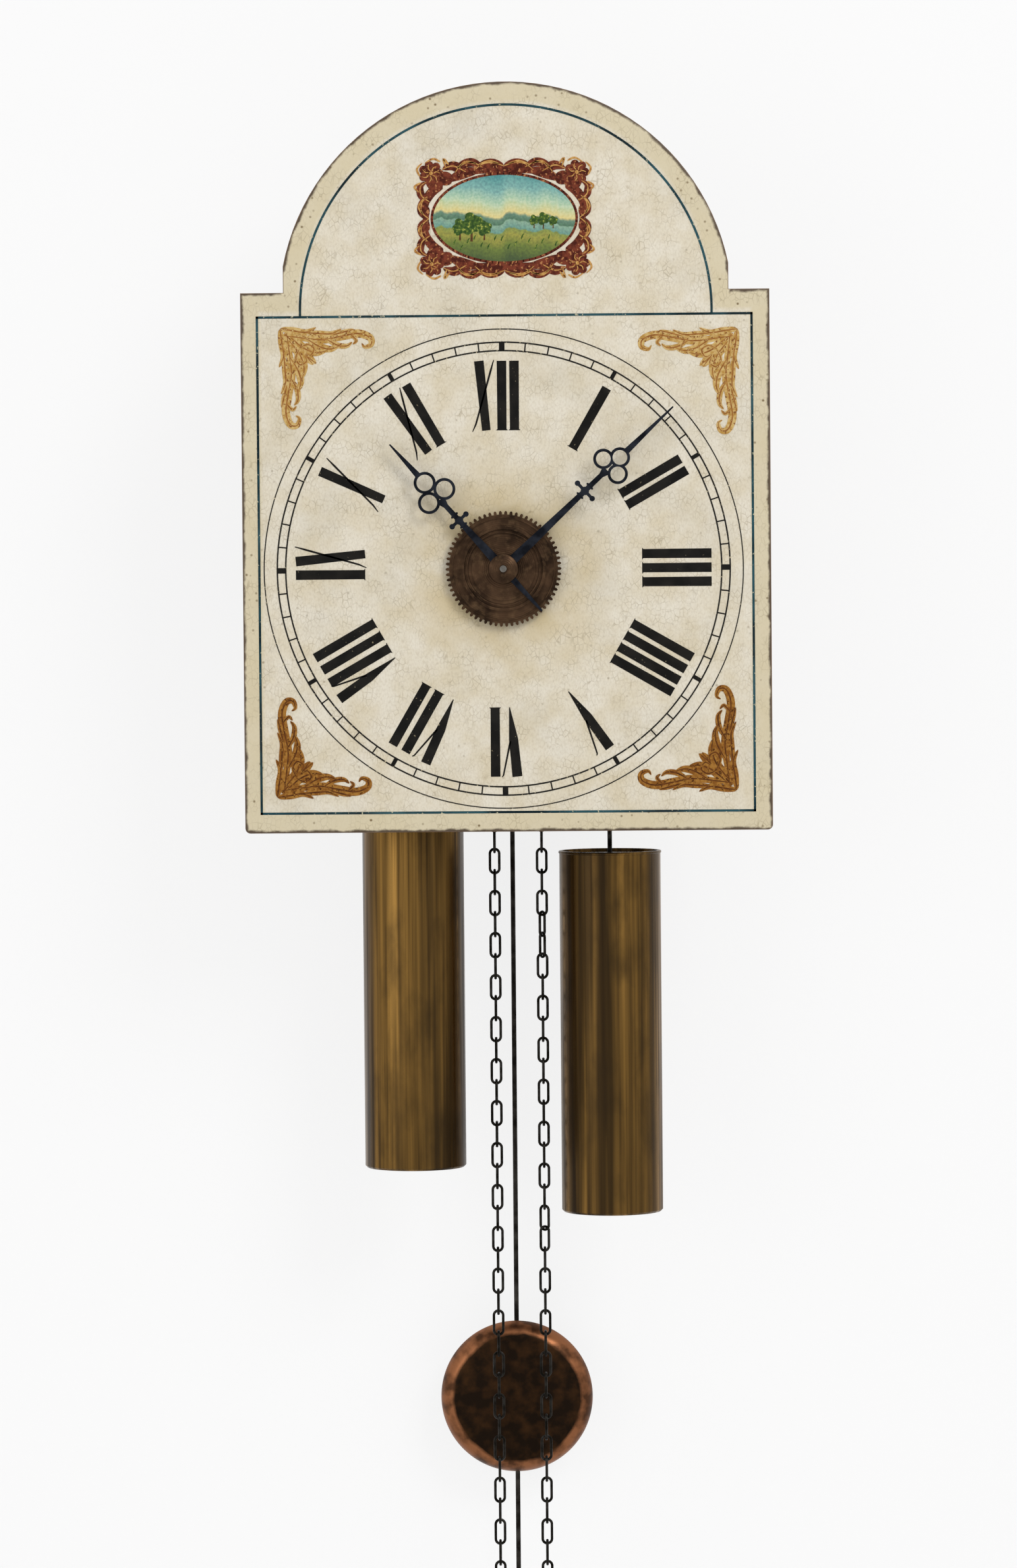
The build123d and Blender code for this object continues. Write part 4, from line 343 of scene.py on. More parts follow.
# %% Old metals
def old_metal(name, clean, patina, size_mm, rough, stretch=(1, 1, 1), pit_mm=0.04):
    """Metal with patina in patches about size_mm wide; rough is its roughness where clean and dull."""
    finish, tree, shader, place = start_finish(name, rough[0], 1.0)
    dull = patches(tree, place, size_mm, 0.38, 0.62, stretch, 6.0)
    colour = add_node(tree, "Mix", {SHARE: dull, UNDER: tint(clean), OVER: tint(patina)},
                      data_type="RGBA").outputs[BLEND]
    roughness = add_node(tree, "MapRange", {"To Min": rough[0], "To Max": rough[1],
                                            "Value": dull}).outputs[0]
    end_finish(tree, shader, colour, patches(tree, place, 1.5, 0.3, 0.7), pit_mm, 0.35, roughness)
    return finish


# Blued steel of the hands: almost black, with a cold edge of light.
blued_steel = old_metal("blued_steel", "#15171C", "#272A31", 5, (0.3, 0.42))
# Iron wire of the chains, tarnished black: each link has one short dull gleam.
chain_iron = old_metal("tarnished_iron_wire", "#2B2926", "#15130F", 4, (0.36, 0.55))
# Forged iron of the fittings: rough and scaled, with hardly any shine.
forged_iron = old_metal("forged_iron", "#3A3733", "#1E1B18", 7, (0.4, 0.62), pit_mm=0.12)
# Drawn steel of arbors and rod: grey and smooth.
drawn_steel = old_metal("drawn_steel", "#6F6C67", "#44403A", 6, (0.3, 0.46), (1, 6, 1))
# Cast brass of the wheels: yellow, browned in clouds.
wheel_brass = old_metal("cast_brass", "#B8924E", "#8A6A34", 10, (0.3, 0.46))
# Bell metal, turned and then left: the brightest metal inside the case.
bell_bronze = old_metal("turned_bell_bronze", "#A07E48", "#6E5430", 8, (0.24, 0.4), (1, 1, 0.3))
print("plain metals ready")

# %% [markdown]
# The alarm disc and its nut are brass that fingers and lamp smoke have turned dark brown. It was turned
# on a lathe, which left rings too fine to model. A sine of the distance from the arbor draws them, at
# 0.9 mm apart, which is coarser than a real tool mark but still shows.

# %% Alarm disc and nut of browned brass
TOOL_MARK = 0.9 * MM
disc_brass, tree, shader, place = start_finish("browned_dial_brass", 0.42, 1.0)
turns = add_node(tree, "Math", {0: radius_about(tree, place, HAND_ARBOR),
                                1: 2 * math.pi / TOOL_MARK}, operation="MULTIPLY").outputs[0]
turned = add_node(tree, "Math", {0: turns}, operation="SINE").outputs[0]
brown = add_node(tree, "Mix", {SHARE: patches(tree, place, 9, 0.35, 0.65),
                               UNDER: tint("#4B3829"), OVER: tint("#2A1F17")}, data_type="RGBA")
rubbed = add_node(tree, "Mix", {SHARE: patches(tree, place, 3, 0.5, 0.75, most=0.5),
                                UNDER: brown.outputs[BLEND], OVER: tint("#66503A")},
                  data_type="RGBA")
# Browned brass gives the eye a dark disc with warm glints on its rings where it is rubbed.
end_finish(tree, shader, rubbed.outputs[BLEND], turned, 0.05, 0.35)
print("disc turned in rings", round(TOOL_MARK / MM, 1), "mm apart")

# %% [markdown]
# The weights are thin brass tubes. Their long dark upright streaks are painted reflections, laid into
# the brass colour. They could be drawn one by one, but a noise that is drawn out forty to sixty times
# its width falls into streaks by itself: broad ones, fine ones, and a few blotches across both.

# %% Brass of the weights, with painted reflection streaks
weight_brass, tree, shader, place = start_finish("weight_brass_painted_reflection_streaks", 0.33, 1.0)
fine_reflection_streaks = patches(tree, place, 2.6, 0.4, 0.68, (1, 1, 60), 3.0)
fine_reflection_share = add_node(tree, "Math", {0: fine_reflection_streaks, 1: 0.7}, operation="MULTIPLY").outputs[0]
reflection_streaked = tint("#866533")
# Dark upright streaks and blotches: painted reflections on a shiny brass tube.
for mask, code in ((patches(tree, place, 10, 0.36, 0.62, (1, 1, 40), 3.0), "#3E2F1B"),
                   (fine_reflection_share, "#281E14"),
                   (patches(tree, place, 14, 0.5, 0.72, (1, 1, 2.5), 6.0, 0.6), "#2E2418")):
    reflection_streaked = add_node(tree, "Mix", {SHARE: mask, UNDER: reflection_streaked, OVER: tint(code)},
                        data_type="RGBA").outputs[BLEND]
dulled = add_node(tree, "MapRange", {"To Min": 0.27, "To Max": 0.5, "Value": fine_reflection_streaks}).outputs[0]
# Brass with painted reflection streaks gives the eye a gold cylinder with dark upright lines that dull its
# shine.
end_finish(tree, shader, reflection_streaked, fine_reflection_streaks, 0.05, 0.3, dulled)
print("weight streaks about 3 and 10 mm wide")

# %% [markdown]
# The bob is a brass lens with a nearly black face and a coppery rim, and the coppery rim is a painted
# highlight, where the curved edge of a shiny lens catches the light. Two materials would meet in a hard
# circle. The distance from its centre, made wavy by noise, gives an uneven border between them instead.

# %% Dark face and painted highlight on the rim of the bob
BOB_HIGHLIGHT_STARTS, BOB_HIGHLIGHT_WHOLE, BOB_HIGHLIGHT_WAVES = 31.8 * MM, 33.4 * MM, 2.2 * MM
bob_brass, tree, shader, place = start_finish("dark_bob_brass", 0.36, 1.0)
bob_low, bob_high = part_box("pendulum_bob")
bob_centre = (bob_low + bob_high) / 2
wavy_radius = add_node(tree, "Math", {
    0: radius_about(tree, place, bob_centre), 1: patches(tree, place, 12, 0.2, 0.8, most=BOB_HIGHLIGHT_WAVES)},
    operation="ADD").outputs[0]
on_rim_highlight = add_node(tree, "MapRange", {"From Min": BOB_HIGHLIGHT_STARTS, "From Max": BOB_HIGHLIGHT_WHOLE,
                                     "Value": wavy_radius}).outputs[0]
bob_face = add_node(tree, "Mix", {SHARE: patches(tree, place, 7, 0.42, 0.72),
                                  UNDER: tint("#1E1610"), OVER: tint("#3A2616")}, data_type="RGBA")
# Coppery ring round the lens edge: a painted highlight.
bob_rim_highlight = add_node(tree, "Mix", {SHARE: patches(tree, place, 8, 0.4, 0.65),
                                 UNDER: tint("#8A5A3C"), OVER: tint("#4A3020")}, data_type="RGBA")
bob_colour = add_node(tree, "Mix", {SHARE: on_rim_highlight, UNDER: bob_face.outputs[BLEND],
                                    OVER: bob_rim_highlight.outputs[BLEND]}, data_type="RGBA")
# Dark brass gives the eye a black, faintly mottled face inside a painted warm ring of highlight.
end_finish(tree, shader, bob_colour.outputs[BLEND], patches(tree, place, 3, 0.3, 0.7), 0.06, 0.4)
print("bob centre", [round(v, 4) for v in bob_centre])

# %% [markdown]
# The case, its doors and the wheel plates are bare softwood and beech, dark with age and smoke. Grain
# could be a wave pattern, but that repeats. Noise drawn out twenty times along the boards gives narrow
# streaks a couple of millimetres wide, and a broader noise under it gives the yearly bands.

# %% Old bare wood
GRAIN_MM = 2.2
case_wood, tree, shader, place = start_finish("smoked_softwood", 0.62)
grain = patches(tree, place, GRAIN_MM, 0.35, 0.68, (1, 1, 20), 5.0)
grain_share = add_node(tree, "Math", {0: grain, 1: 0.7}, operation="MULTIPLY").outputs[0]
wood_tone = add_node(tree, "Mix", {SHARE: patches(tree, place, 14, 0.35, 0.65, (1, 1, 8)),
                                   UNDER: tint("#8A6442"), OVER: tint("#6B4A2F")}, data_type="RGBA")
grained = add_node(tree, "Mix", {SHARE: grain_share, UNDER: wood_tone.outputs[BLEND],
                                 OVER: tint("#3C2817")}, data_type="RGBA")
# Smoked softwood gives the eye a dry, dull brown with dark lines up the boards.
end_finish(tree, shader, grained.outputs[BLEND], grain, 0.15, 0.5)
print("grain", GRAIN_MM, "mm wide")

# %% [markdown]
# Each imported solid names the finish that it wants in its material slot. The solids could be dressed by
# name, one at a time, but going by the slot's name means that no solid can be forgotten.

# %% Give each solid its finish
FINISHES = {"dial_paint": lacquer, "case_wood": case_wood, "iron": forged_iron, "chain_iron": chain_iron,
            "steel": drawn_steel, "movement_brass": wheel_brass, "blued_steel": blued_steel,
            "dial_brass": disc_brass, "weight_brass": weight_brass, "bob_brass": bob_brass,
            "bell_bronze": bell_bronze}
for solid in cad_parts.values():
    for slot in solid.material_slots:
        slot.material = FINISHES[slot.material.name.split(".")[0]]
print("finishes on", len(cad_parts), "solids")

# %% [markdown]
# Brushwork could be a picture file, a shader pattern or thin solids. Thin solids keep a clean edge at
# any zoom and survive any export, so each stroke is a slip of paint an eighth of a millimetre thick on
# the board. A straight stroke is a cube whose two ends are moved to the ends of the stroke.

# %% Straight strokes of paint
PAINT = 0.12


def on_board(point, lift):
    """Place in metres of a point in mm right of and above the hand arbor, lift mm in front of the board."""
    return Vector((point[0] * MM, BOARD_FACE - lift * MM, HAND_ARBOR.z + point[1] * MM))


def stroke(shape, start, end, start_width, end_width, lift=PAINT):
    """Straight stroke between two points, in mm."""
    start, end = Vector(start), Vector(end)
    across = Vector((end.y - start.y, start.x - end.x)).normalized()
    corners = bmesh.ops.create_cube(shape, size=1.0)["verts"]
    for corner in corners:
        at, width = (end, end_width) if corner.co.z > 0 else (start, start_width)
        corner.co = on_board(at + across * corner.co.x * width, lift if corner.co.y < 0 else 0.0)
    return corners


print("a stroke stands", PAINT, "mm out from the board")

# %% [markdown]
# A scroll swells and thins as the brush is pressed and lifted. A bevelled curve would be round like
# wire, so a scroll is a narrow flat grid, laid along a smooth path and then given its thickness.

# %% Scrolls
PATH_STEPS = 5
SWELL_EARLY, FULLNESS = 0.75, 0.8


def smooth_path(points):
    """Points along a smooth line through the given ones."""
    knots = [Vector((*point, 0.0)) for point in points]
    path = []
    for i, (first, last) in enumerate(zip(knots, knots[1:])):
        before, after = knots[max(i - 1, 0)], knots[min(i + 2, len(knots) - 1)]
        path += interpolate_bezier(first, first + (last - before) / 6, last - (after - first) / 6, last,
                                   PATH_STEPS + 1)[:-1]
    return path + [knots[-1]]


def thicken(shape, faces, depth):
    """Gives flat faces that thickness in mm, away from the wall."""
    grown = bmesh.ops.extrude_face_region(shape, geom=faces)["geom"]
    moved = [part for part in grown if isinstance(part, bmesh.types.BMVert)]
    bmesh.ops.translate(shape, verts=moved, vec=(0, -depth * MM, 0))


def scroll(shape, points, widest, lift=PAINT, tip=0.25, base=0.0):
    """Curved stroke through points, thin at both ends and widest, in mm, nearer its start."""
    path = smooth_path(points)
    strip = bmesh.ops.create_grid(shape, x_segments=len(path) - 1, y_segments=1, size=1.0)["verts"]
    faces = list({face for vert in strip for face in vert.link_faces})
    for vert in strip:
        share = (vert.co.x + 1) / 2
        i = round(share * (len(path) - 1))
        ahead = path[min(i + 1, len(path) - 1)] - path[max(i - 1, 0)]
        across = Vector((-ahead.y, ahead.x)).normalized()
        swell = widest * math.sin(math.pi * share ** SWELL_EARLY) ** FULLNESS if 0 < share < 1 else 0.0
        at = Vector(path[i][:2]) + across * (tip + swell) / 2 * (1 if vert.co.y > 0 else -1)
        vert.co = on_board(at, base)
    thicken(shape, faces, lift - base)


print("each part of a scroll has", PATH_STEPS, "steps")

# %% [markdown]
# Rings and half rings are drawn with a compass. A torus would be round in section, so a small upright
# rectangle is spun about the centre instead. Its face is taken away first, since spin sweeps edges, and
# a half ring has its two open ends filled.

# %% Rings
FULL_TURN = 2 * math.pi


def ring(shape, centre, inner, outer, foot, depth, steps=180, sweep=FULL_TURN, start=0.0):
    """Flat ring about centre, in mm, standing depth mm out from the plane y = foot."""
    edge = bmesh.ops.create_grid(shape, x_segments=1, y_segments=1, size=1.0)["verts"]
    middle = Vector((centre[0] * MM, foot, HAND_ARBOR.z + centre[1] * MM))
    for vert in edge:
        radius = outer if vert.co.x > 0 else inner
        vert.co = middle + Vector((radius * MM, -depth * MM if vert.co.y > 0 else 0.0, 0.0))
    bmesh.ops.rotate(shape, verts=edge, cent=middle, matrix=Matrix.Rotation(start, 3, "Y"))
    lines = list({line for vert in edge for line in vert.link_edges})
    faces = list({face for vert in edge for face in vert.link_faces})
    bmesh.ops.delete(shape, geom=faces, context="FACES_ONLY")
    bmesh.ops.spin(shape, geom=edge + lines, cent=middle, axis=(0, 1, 0), angle=sweep, steps=steps,
                   use_merge=sweep == FULL_TURN)
    if sweep != FULL_TURN:
        bmesh.ops.holes_fill(shape, edges=[line for line in shape.edges if line.is_boundary], sides=4)


print("a whole ring turns", round(math.degrees(FULL_TURN)), "degrees")

# %% [markdown]
# A spot is one dab of the brush. It could be a flattened sphere, but dry paint has a flat top, so it is
# a filled circle, stretched to an oval and thickened. A finished shape is then turned into a piece: its
# faces are pointed outwards, it gets its finish, and it is told which body of the clock carries it.

# %% Spots, and hanging up a piece
def spot(shape, centre, across, upright, lift=PAINT, base=0.0, sides=48):
    """Flat oval spot with those half widths, in mm."""
    place = Matrix.Translation(on_board(centre, base)) @ Matrix.Rotation(math.pi / 2, 4, "X")
    place = place @ Matrix.Diagonal((across * MM, upright * MM, 1, 1))
    verts = bmesh.ops.create_circle(shape, cap_ends=True, radius=1.0, segments=sides, matrix=place)["verts"]
    thicken(shape, list({face for vert in verts for face in vert.link_faces}), lift - base)


def hang_up(name, shape, finish, body):
    """Turns a shape into a piece that rides on a body of the clock."""
    bmesh.ops.recalc_face_normals(shape, faces=shape.faces[:])
    mesh = bpy.data.meshes.new(name)
    shape.to_mesh(mesh)
    shape.free()
    mesh.materials.append(finish)
    piece = bpy.data.objects.new(name, mesh)
    bpy.context.scene.collection.objects.link(piece)
    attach(piece, body)
    print(name, len(mesh.polygons), "faces")


print("brushes ready")

# %% [markdown]
# The hours are Roman, each figure standing on a circle with its foot to the centre. Upright strokes are
# broad, and the second stroke of V and X is a hairline. A font could set them, but no font has these
# proportions. So each letter is a few strokes, and the painter's uneven spacing is a table.

# %% Letters and their places
FOOT_R, TOP_R = 65.5, 98.3
BROAD = 4.3
BEND = FOOT_R + 15
# Each stroke has its foot, its top, and its width at both, in mm, on the ray straight up from the arbor.
LETTERS = {
    "I": [((0, FOOT_R + 0.6), (0, TOP_R), BROAD, BROAD + 0.2),
          ((0, FOOT_R), (0, FOOT_R + 0.6), BROAD + 1.4, BROAD)],
    "V": [((1.7, BEND), (0, TOP_R), BROAD, BROAD + 0.4),
          ((3.5, FOOT_R), (1.7, BEND), 0.4, BROAD),
          ((3.2, BEND + 1), (6.6, TOP_R - 0.6), 0.9, 0.7),
          ((6.6, TOP_R - 0.6), (7.3, TOP_R + 0.2), 0.7, 0.35)],
    "X": [((3.3, FOOT_R), (0, TOP_R), BROAD - 0.3, BROAD + 0.2),
          ((-1.6, FOOT_R + 3), (5.6, TOP_R - 4.5), 0.8, 0.9),
          ((-3.2, FOOT_R - 0.6), (-1.6, FOOT_R + 3), 0.35, 0.8),
          ((5.6, TOP_R - 4.5), (7.0, TOP_R + 0.4), 0.9, 0.4)],
}
# Each letter's place is how far across its ray the top of its broad stroke stands, in mm.
HOURS = {
    1: [("I", 0.3)],
    2: [("I", -2.6), ("I", 3.6)],
    3: [("I", -6.7), ("I", 0.0), ("I", 6.6)],
    4: [("I", -7.6), ("I", -1.2), ("I", 5.1), ("I", 11.3)],
    5: [("V", -0.5)],
    6: [("V", -5.7), ("I", 4.6)],
    7: [("V", -13.2), ("I", -2.2), ("I", 4.7)],
    8: [("V", -13.6), ("I", -4.8), ("I", 2.1), ("I", 8.9)],
    9: [("I", -2.1), ("X", 4.3)],
    10: [("X", -2.6)],
    11: [("X", -5.9), ("I", 4.4)],
    12: [("X", -10.9), ("I", -0.2), ("I", 5.7)],
}
print("figures stand from", FOOT_R, "to", TOP_R, "mm")

# %% [markdown]
# Drawing each figure in its final slant would take twelve sets of numbers. It is easier to draw them
# all upright at twelve and to turn each about the arbor, a twelfth of a turn for each hour.

# %% Roman hours
hours = bmesh.new()
for hour, letters in HOURS.items():
    figure = []
    for kind, at in letters:
        for (foot_x, foot), (top_x, top), foot_width, top_width in LETTERS[kind]:
            figure += stroke(hours, (at + foot_x, foot), (at + top_x, top), foot_width, top_width)
    slant = Matrix.Rotation(hour * math.pi / 6, 3, "Y")
    bmesh.ops.rotate(hours, verts=figure, cent=HAND_ARBOR, matrix=slant)
hang_up("hour_figures", hours, figure_black, "case")

# %% [markdown]
# The minutes run in a ladder between two thin rings, with a block at each hour and a wider one at the
# quarters, and a third ring closes the dial. A pattern in the shader could draw them, but it would blur
# close up. The bars lie a hair higher than the rings, because two faces in one plane would flicker.

# %% Minute track and rings
TRACK = (103.1, 107.1)
BAR_LIFT = PAINT + 0.03
minutes = bmesh.new()
for minute in range(60):
    width = 2.6 if minute % 15 == 0 else 1.9 if minute % 5 == 0 else 0.6
    bar = stroke(minutes, (0, TRACK[0]), (0, TRACK[1]), width, width, BAR_LIFT)
    slant = Matrix.Rotation(minute * math.pi / 30, 3, "Y")
    bmesh.ops.rotate(minutes, verts=bar, cent=HAND_ARBOR, matrix=slant)
hang_up("minute_bars", minutes, figure_black, "case")

rings = bmesh.new()
for radius, width in ((TRACK[0], 0.7), (TRACK[1], 0.7), (113.3, 0.5)):
    ring(rings, (0, 0), radius - width / 2, radius + width / 2, BOARD_FACE, PAINT)
hang_up("dial_rings", rings, line_black, "case")

# %% [markdown]
# One blue-black stripe follows the board's edge: a rectangle round the dial and a half circle in the
# arch, about a millimetre wide. The arch reaches a little past a half circle, down to the rectangle's
# top line, and its angle is worked out from how far its centre stands above that line.

# %% Stripes
STRIPE = 1.1
CORNERS = [(-115.6, 119.7), (118.0, 119.7), (118.0, -115.2), (-115.6, -115.0)]
ARCH_CENTRE, ARCH_STRIPE_R = (2.0, 121.8), 97.2
stripes = bmesh.new()
for start, end in zip(CORNERS, CORNERS[1:] + CORNERS[:1]):
    reach = (Vector(end) - Vector(start)).normalized() * STRIPE / 2
    stroke(stripes, Vector(start) - reach, Vector(end) + reach, STRIPE, STRIPE)
drop = math.asin((ARCH_CENTRE[1] - CORNERS[0][1]) / ARCH_STRIPE_R)
ring(stripes, ARCH_CENTRE, ARCH_STRIPE_R - STRIPE / 2, ARCH_STRIPE_R + STRIPE / 2, BOARD_FACE,
     PAINT + 0.02, 120, -(math.pi + 2 * drop), drop)
hang_up("edge_stripes", stripes, stripe_blue, "case")

# %% [markdown]
# In each corner stands a printed ornament of leaves and scrolls, the common kind sold in sheets to dial
# painters. It could be drawn four times, but the sheets were all alike, so it is drawn once from its
# corner, as a path and a greatest width for each leaf. Its two arms mirror each other.

# %% Leaves of a corner
LEAVES = [
    ([(2, 2), (7, 7.2), (11.5, 11.8), (15.5, 17)], 6.6),
    ([(1, 3), (10, 4.2), (20, 5.2), (29, 3.6), (37, 2.4), (42.5, 4.4), (43, 7.6), (40, 8.8), (38.6, 7.0)], 3.8),
    ([(5, 4), (11, 9), (17, 11.2), (22, 10.4)], 4.2),
    ([(13, 5), (19, 8.6), (24, 9.6), (28, 8.2)], 3.4),
    ([(22, 5), (27, 7.8), (31.5, 8.2), (34, 6.4)], 2.4),
    ([(0, 0), (6, 0.8), (12, 1.6), (17, -0.6)], 3.2),
    ([(12, 1.8), (18, 2.2), (24, 2.4), (29, 0.2)], 2.6),
    ([(25, 3.0), (31, 1.4), (35, 0.4)], 1.9),
    ([(9, 9), (13, 7.4), (16, 9.4), (14.4, 12.4), (12, 11.6)], 1.5),
    ([(33.5, 3), (36, 5.6), (34.4, 7.4)], 1.5),
]
# Each corner has its place, which way its arms run, and its size, uneven as the hand laid them.
PLACES = [((-104.7, 114.2), 1, -1, 1.0), ((111.2, 112.4), -1, -1, 1.05),
          ((-108.0, -107.3), 1, 1, 1.0), ((109.5, -105.4), -1, 1, 1.05)]
UPRIGHT_ARM = 1.06


def both_ways(line):
    """The line, and the same line turned over the corner's diagonal."""
    return line, [(point[1], point[0] * UPRIGHT_ARM) for point in line]


print(2 * len(LEAVES), "leaves in each corner")

# %% [markdown]
# The broad leaves come first, then their thin dark veins on top. All could lie at one height, but where
# strokes cross, two faces in one plane would flicker. So each lies 0.008 mm higher than the last, which
# no eye can see.

# %% Corner ornaments
LAYER = 0.008
VEIN_WIDTH, VEIN_TIP, VEIN_RISE = 0.55, 0.15, 0.02
for number, (corner, right, up, size) in enumerate(PLACES, 1):
    leaves, veins = bmesh.new(), bmesh.new()
    for i, (line, widest) in enumerate(LEAVES):
        for turned_over, way in enumerate(both_ways(line)):
            placed = [(corner[0] + right * size * p[0], corner[1] + up * size * p[1]) for p in way]
            lift = PAINT + LAYER * (2 * i + turned_over)
            scroll(leaves, placed, widest, lift)
            scroll(veins, placed, VEIN_WIDTH, lift + VEIN_RISE, VEIN_TIP, PAINT * 0.5)
    upper = up < 0
    hang_up(f"corner_leaves_{number}", leaves, bronze_upper if upper else bronze_lower, "case")
    hang_up(f"corner_veins_{number}", veins, vein_upper if upper else vein_lower, "case")

# %% [markdown]
# The picture in the arch sits in a scrolled frame with a rosette at each corner. Such frames are the
# same in all four quarters, so one quarter is drawn from the middle of the oval, as paths again, and
# turned over to the other three. A table of thin gold lines marks where the scrolls catch the light.

# %% A quarter of the frame
QUARTER = [
    ([(-1, 22.8), (5, 23.4), (11, 22.8), (16, 21.0)], 4.4),
    ([(12, 22.6), (18, 21.6), (23, 19.6), (27, 17.4)], 4.8),
    ([(24, 18.5), (29, 19.2), (33, 21.6)], 6.4),
    ([(29, 14.0), (33.6, 16.6), (36, 20)], 6.0),
    ([(30, 14.6), (34.2, 12.4), (36.6, 8.4), (36.8, 4)], 4.2),
    ([(36.4, 6), (37.2, 2), (37.0, -1)], 3.6),
]
OUTER_SCROLLS = [
    ([(0, 24.6), (5, 26.2), (10, 25.6), (14, 22.6)], 3.4),
    ([(10, 24.0), (15, 26.4), (20, 25.2), (23, 21.6)], 3.8),
    ([(18, 22.0), (24, 24.8), (29, 23.2)], 4.4),
    ([(35.6, 0), (39.0, 3.2), (38.8, 7.6), (36.2, 10.6)], 3.4),
    ([(35.2, 8), (39.0, 11.0), (39.4, 15.2), (36.6, 17.4)], 3.4),
]
HIGHLIGHTS = [
    ([(2, 25.6), (7, 27.0), (12, 25.4)], 0.6), ([(13, 25.6), (18, 26.8), (22, 23.6)], 0.6),
    ([(26, 25.4), (28.4, 28.0), (27.4, 24.0)], 0.9), ([(38.4, 2), (40.4, 5.6), (38.2, 9.4)], 0.6),
    ([(39.2, 17), (42.2, 15.0), (40.2, 12.6)], 0.8), ([(30, 26.8), (33.4, 28.2), (37.2, 26.2)], 0.7),
    ([(39.6, 20), (41.0, 23.4), (38.6, 26.2)], 0.7),
]
RED_LINES = QUARTER + OUTER_SCROLLS
GOLD_LINES = HIGHLIGHTS + [(line, 0.35) for line, _ in OUTER_SCROLLS]
print(len(RED_LINES), "red and", len(GOLD_LINES), "gold lines in each quarter")

# %% [markdown]
# A rosette is a round boss with seven petals, each with a gold arm. It could be one star-shaped face,
# but overlapping dabs look brushed. The petals step up a little each, for the same reason as before.

# %% Scrolled frame of the picture
GOLD_LIFT, BOSS_LIFT, PETAL_LIFT, ARM_LIFT, PIN_LIFT = 0.26, 0.235, 0.24, 0.29, 0.3
BOSS_AT, BOSS_R, PETAL_REACH, PETAL_R, PIN_R = (34.4, 21.4), 4.6, 3.9, 2.0, 0.9
PETALS, PETAL_TURN = 7, 0.8976
frame_scrolls, frame_gold = bmesh.new(), bmesh.new()
for quarter, (right, up) in enumerate(((1, 1), (1, -1), (-1, 1), (-1, -1))):
    for i, (line, widest) in enumerate(RED_LINES):
        scroll(frame_scrolls, [(PICTURE.x + right * p[0], PICTURE.y + up * p[1]) for p in line], widest,
               PAINT + LAYER * (i + 0.25 * quarter))
    for line, widest in GOLD_LINES:
        scroll(frame_gold, [(PICTURE.x + right * p[0], PICTURE.y + up * p[1]) for p in line], widest,
               GOLD_LIFT + 0.002 * quarter)
    boss = Vector((PICTURE.x + right * BOSS_AT[0], PICTURE.y + up * BOSS_AT[1]))
    spot(frame_scrolls, boss, BOSS_R, BOSS_R, BOSS_LIFT)
    for petal in range(PETALS):
        turn = Vector((math.cos(petal * PETAL_TURN), math.sin(petal * PETAL_TURN)))
        spot(frame_scrolls, boss + turn * PETAL_REACH, PETAL_R, PETAL_R, PETAL_LIFT + 0.003 * petal, sides=16)
        side = Vector((-turn.y, turn.x))
        scroll(frame_gold, [boss + turn * 1.2, boss + turn * 2.6 + side * 0.7, boss + turn * 4.4], 0.35,
               ARM_LIFT, 0.15)
    spot(frame_gold, boss, PIN_R, PIN_R, PIN_LIFT, sides=16)
hang_up("picture_frame_scrolls", frame_scrolls, scroll_red, "case")
hang_up("picture_frame_gold", frame_gold, scroll_gold, "case")

# %% [markdown]
# The oval is a slip of paint with the landscape finish, inside a thin red-brown line. That line could be
# a ring stretched to an oval, but it would then be thinner at the top than at the sides. Short strokes
# from point to point along the oval keep one width.

# %% Oval picture and its rim
OVAL_LIFT, RIM_LIFT = 0.16, 0.19
OVAL_HALF, RIM_HALF, RIM_WIDTH, RIM_STROKES, OVERLAP = (33.8, 20.6), (34.2, 21.0), 1.2, 72, 0.01
oval = bmesh.new()
spot(oval, PICTURE, *OVAL_HALF, OVAL_LIFT, sides=96)
hang_up("picture_oval", oval, landscape, "case")

rim = bmesh.new()
for i in range(RIM_STROKES):
    angles = (i * FULL_TURN / RIM_STROKES, (i + 1) * FULL_TURN / RIM_STROKES + OVERLAP)
    ends = [PICTURE + Vector((RIM_HALF[0] * math.cos(a), RIM_HALF[1] * math.sin(a))) for a in angles]
    stroke(rim, ends[0], ends[1], RIM_WIDTH, RIM_WIDTH, RIM_LIFT)
hang_up("picture_oval_rim", rim, scroll_red, "case")

# %% [markdown]
# A row of round trees and some reeds stand in the landscape. A shader alone gives no crisp tree, so they
# are separate dabs. Each crown has nine, set round in a spiral as the seeds of a sunflower are, because
# that fills a circle evenly with no pattern to see.

# %% Trees and reeds
TREES = [(-21.0, -4.0, 4.2), (-15.5, -2.5, 5.6), (-9.5, -4.6, 3.8), (14.0, -1.0, 2.6), (18.4, -0.4, 3.2),
         (23.0, -1.4, 2.4)]
DABS, SPIRAL_TURN, REEDS = 9, 2.4, 16
CROWN_LIFT, REED_LIFT, TREE_BASE = 0.2, 0.21, 0.1
REED_WIDTH, REED_TIP = 0.5, 0.15
crowns, trunks = bmesh.new(), bmesh.new()
for x, z, size in TREES:
    stroke(trunks, PICTURE + Vector((x, z - size * 1.5)), PICTURE + Vector((x + 0.2, z)), size * 0.22,
           size * 0.12, RIM_LIFT)
    for i in range(DABS):
        turn = i * SPIRAL_TURN
        reach = size * 0.62 * math.sqrt((i + 0.5) / DABS)
        dab = PICTURE + Vector((x + reach * math.cos(turn), z + reach * math.sin(turn) * 1.15))
        spot(crowns, dab, size * 0.42, size * 0.38, CROWN_LIFT + 0.004 * i, TREE_BASE, 14)
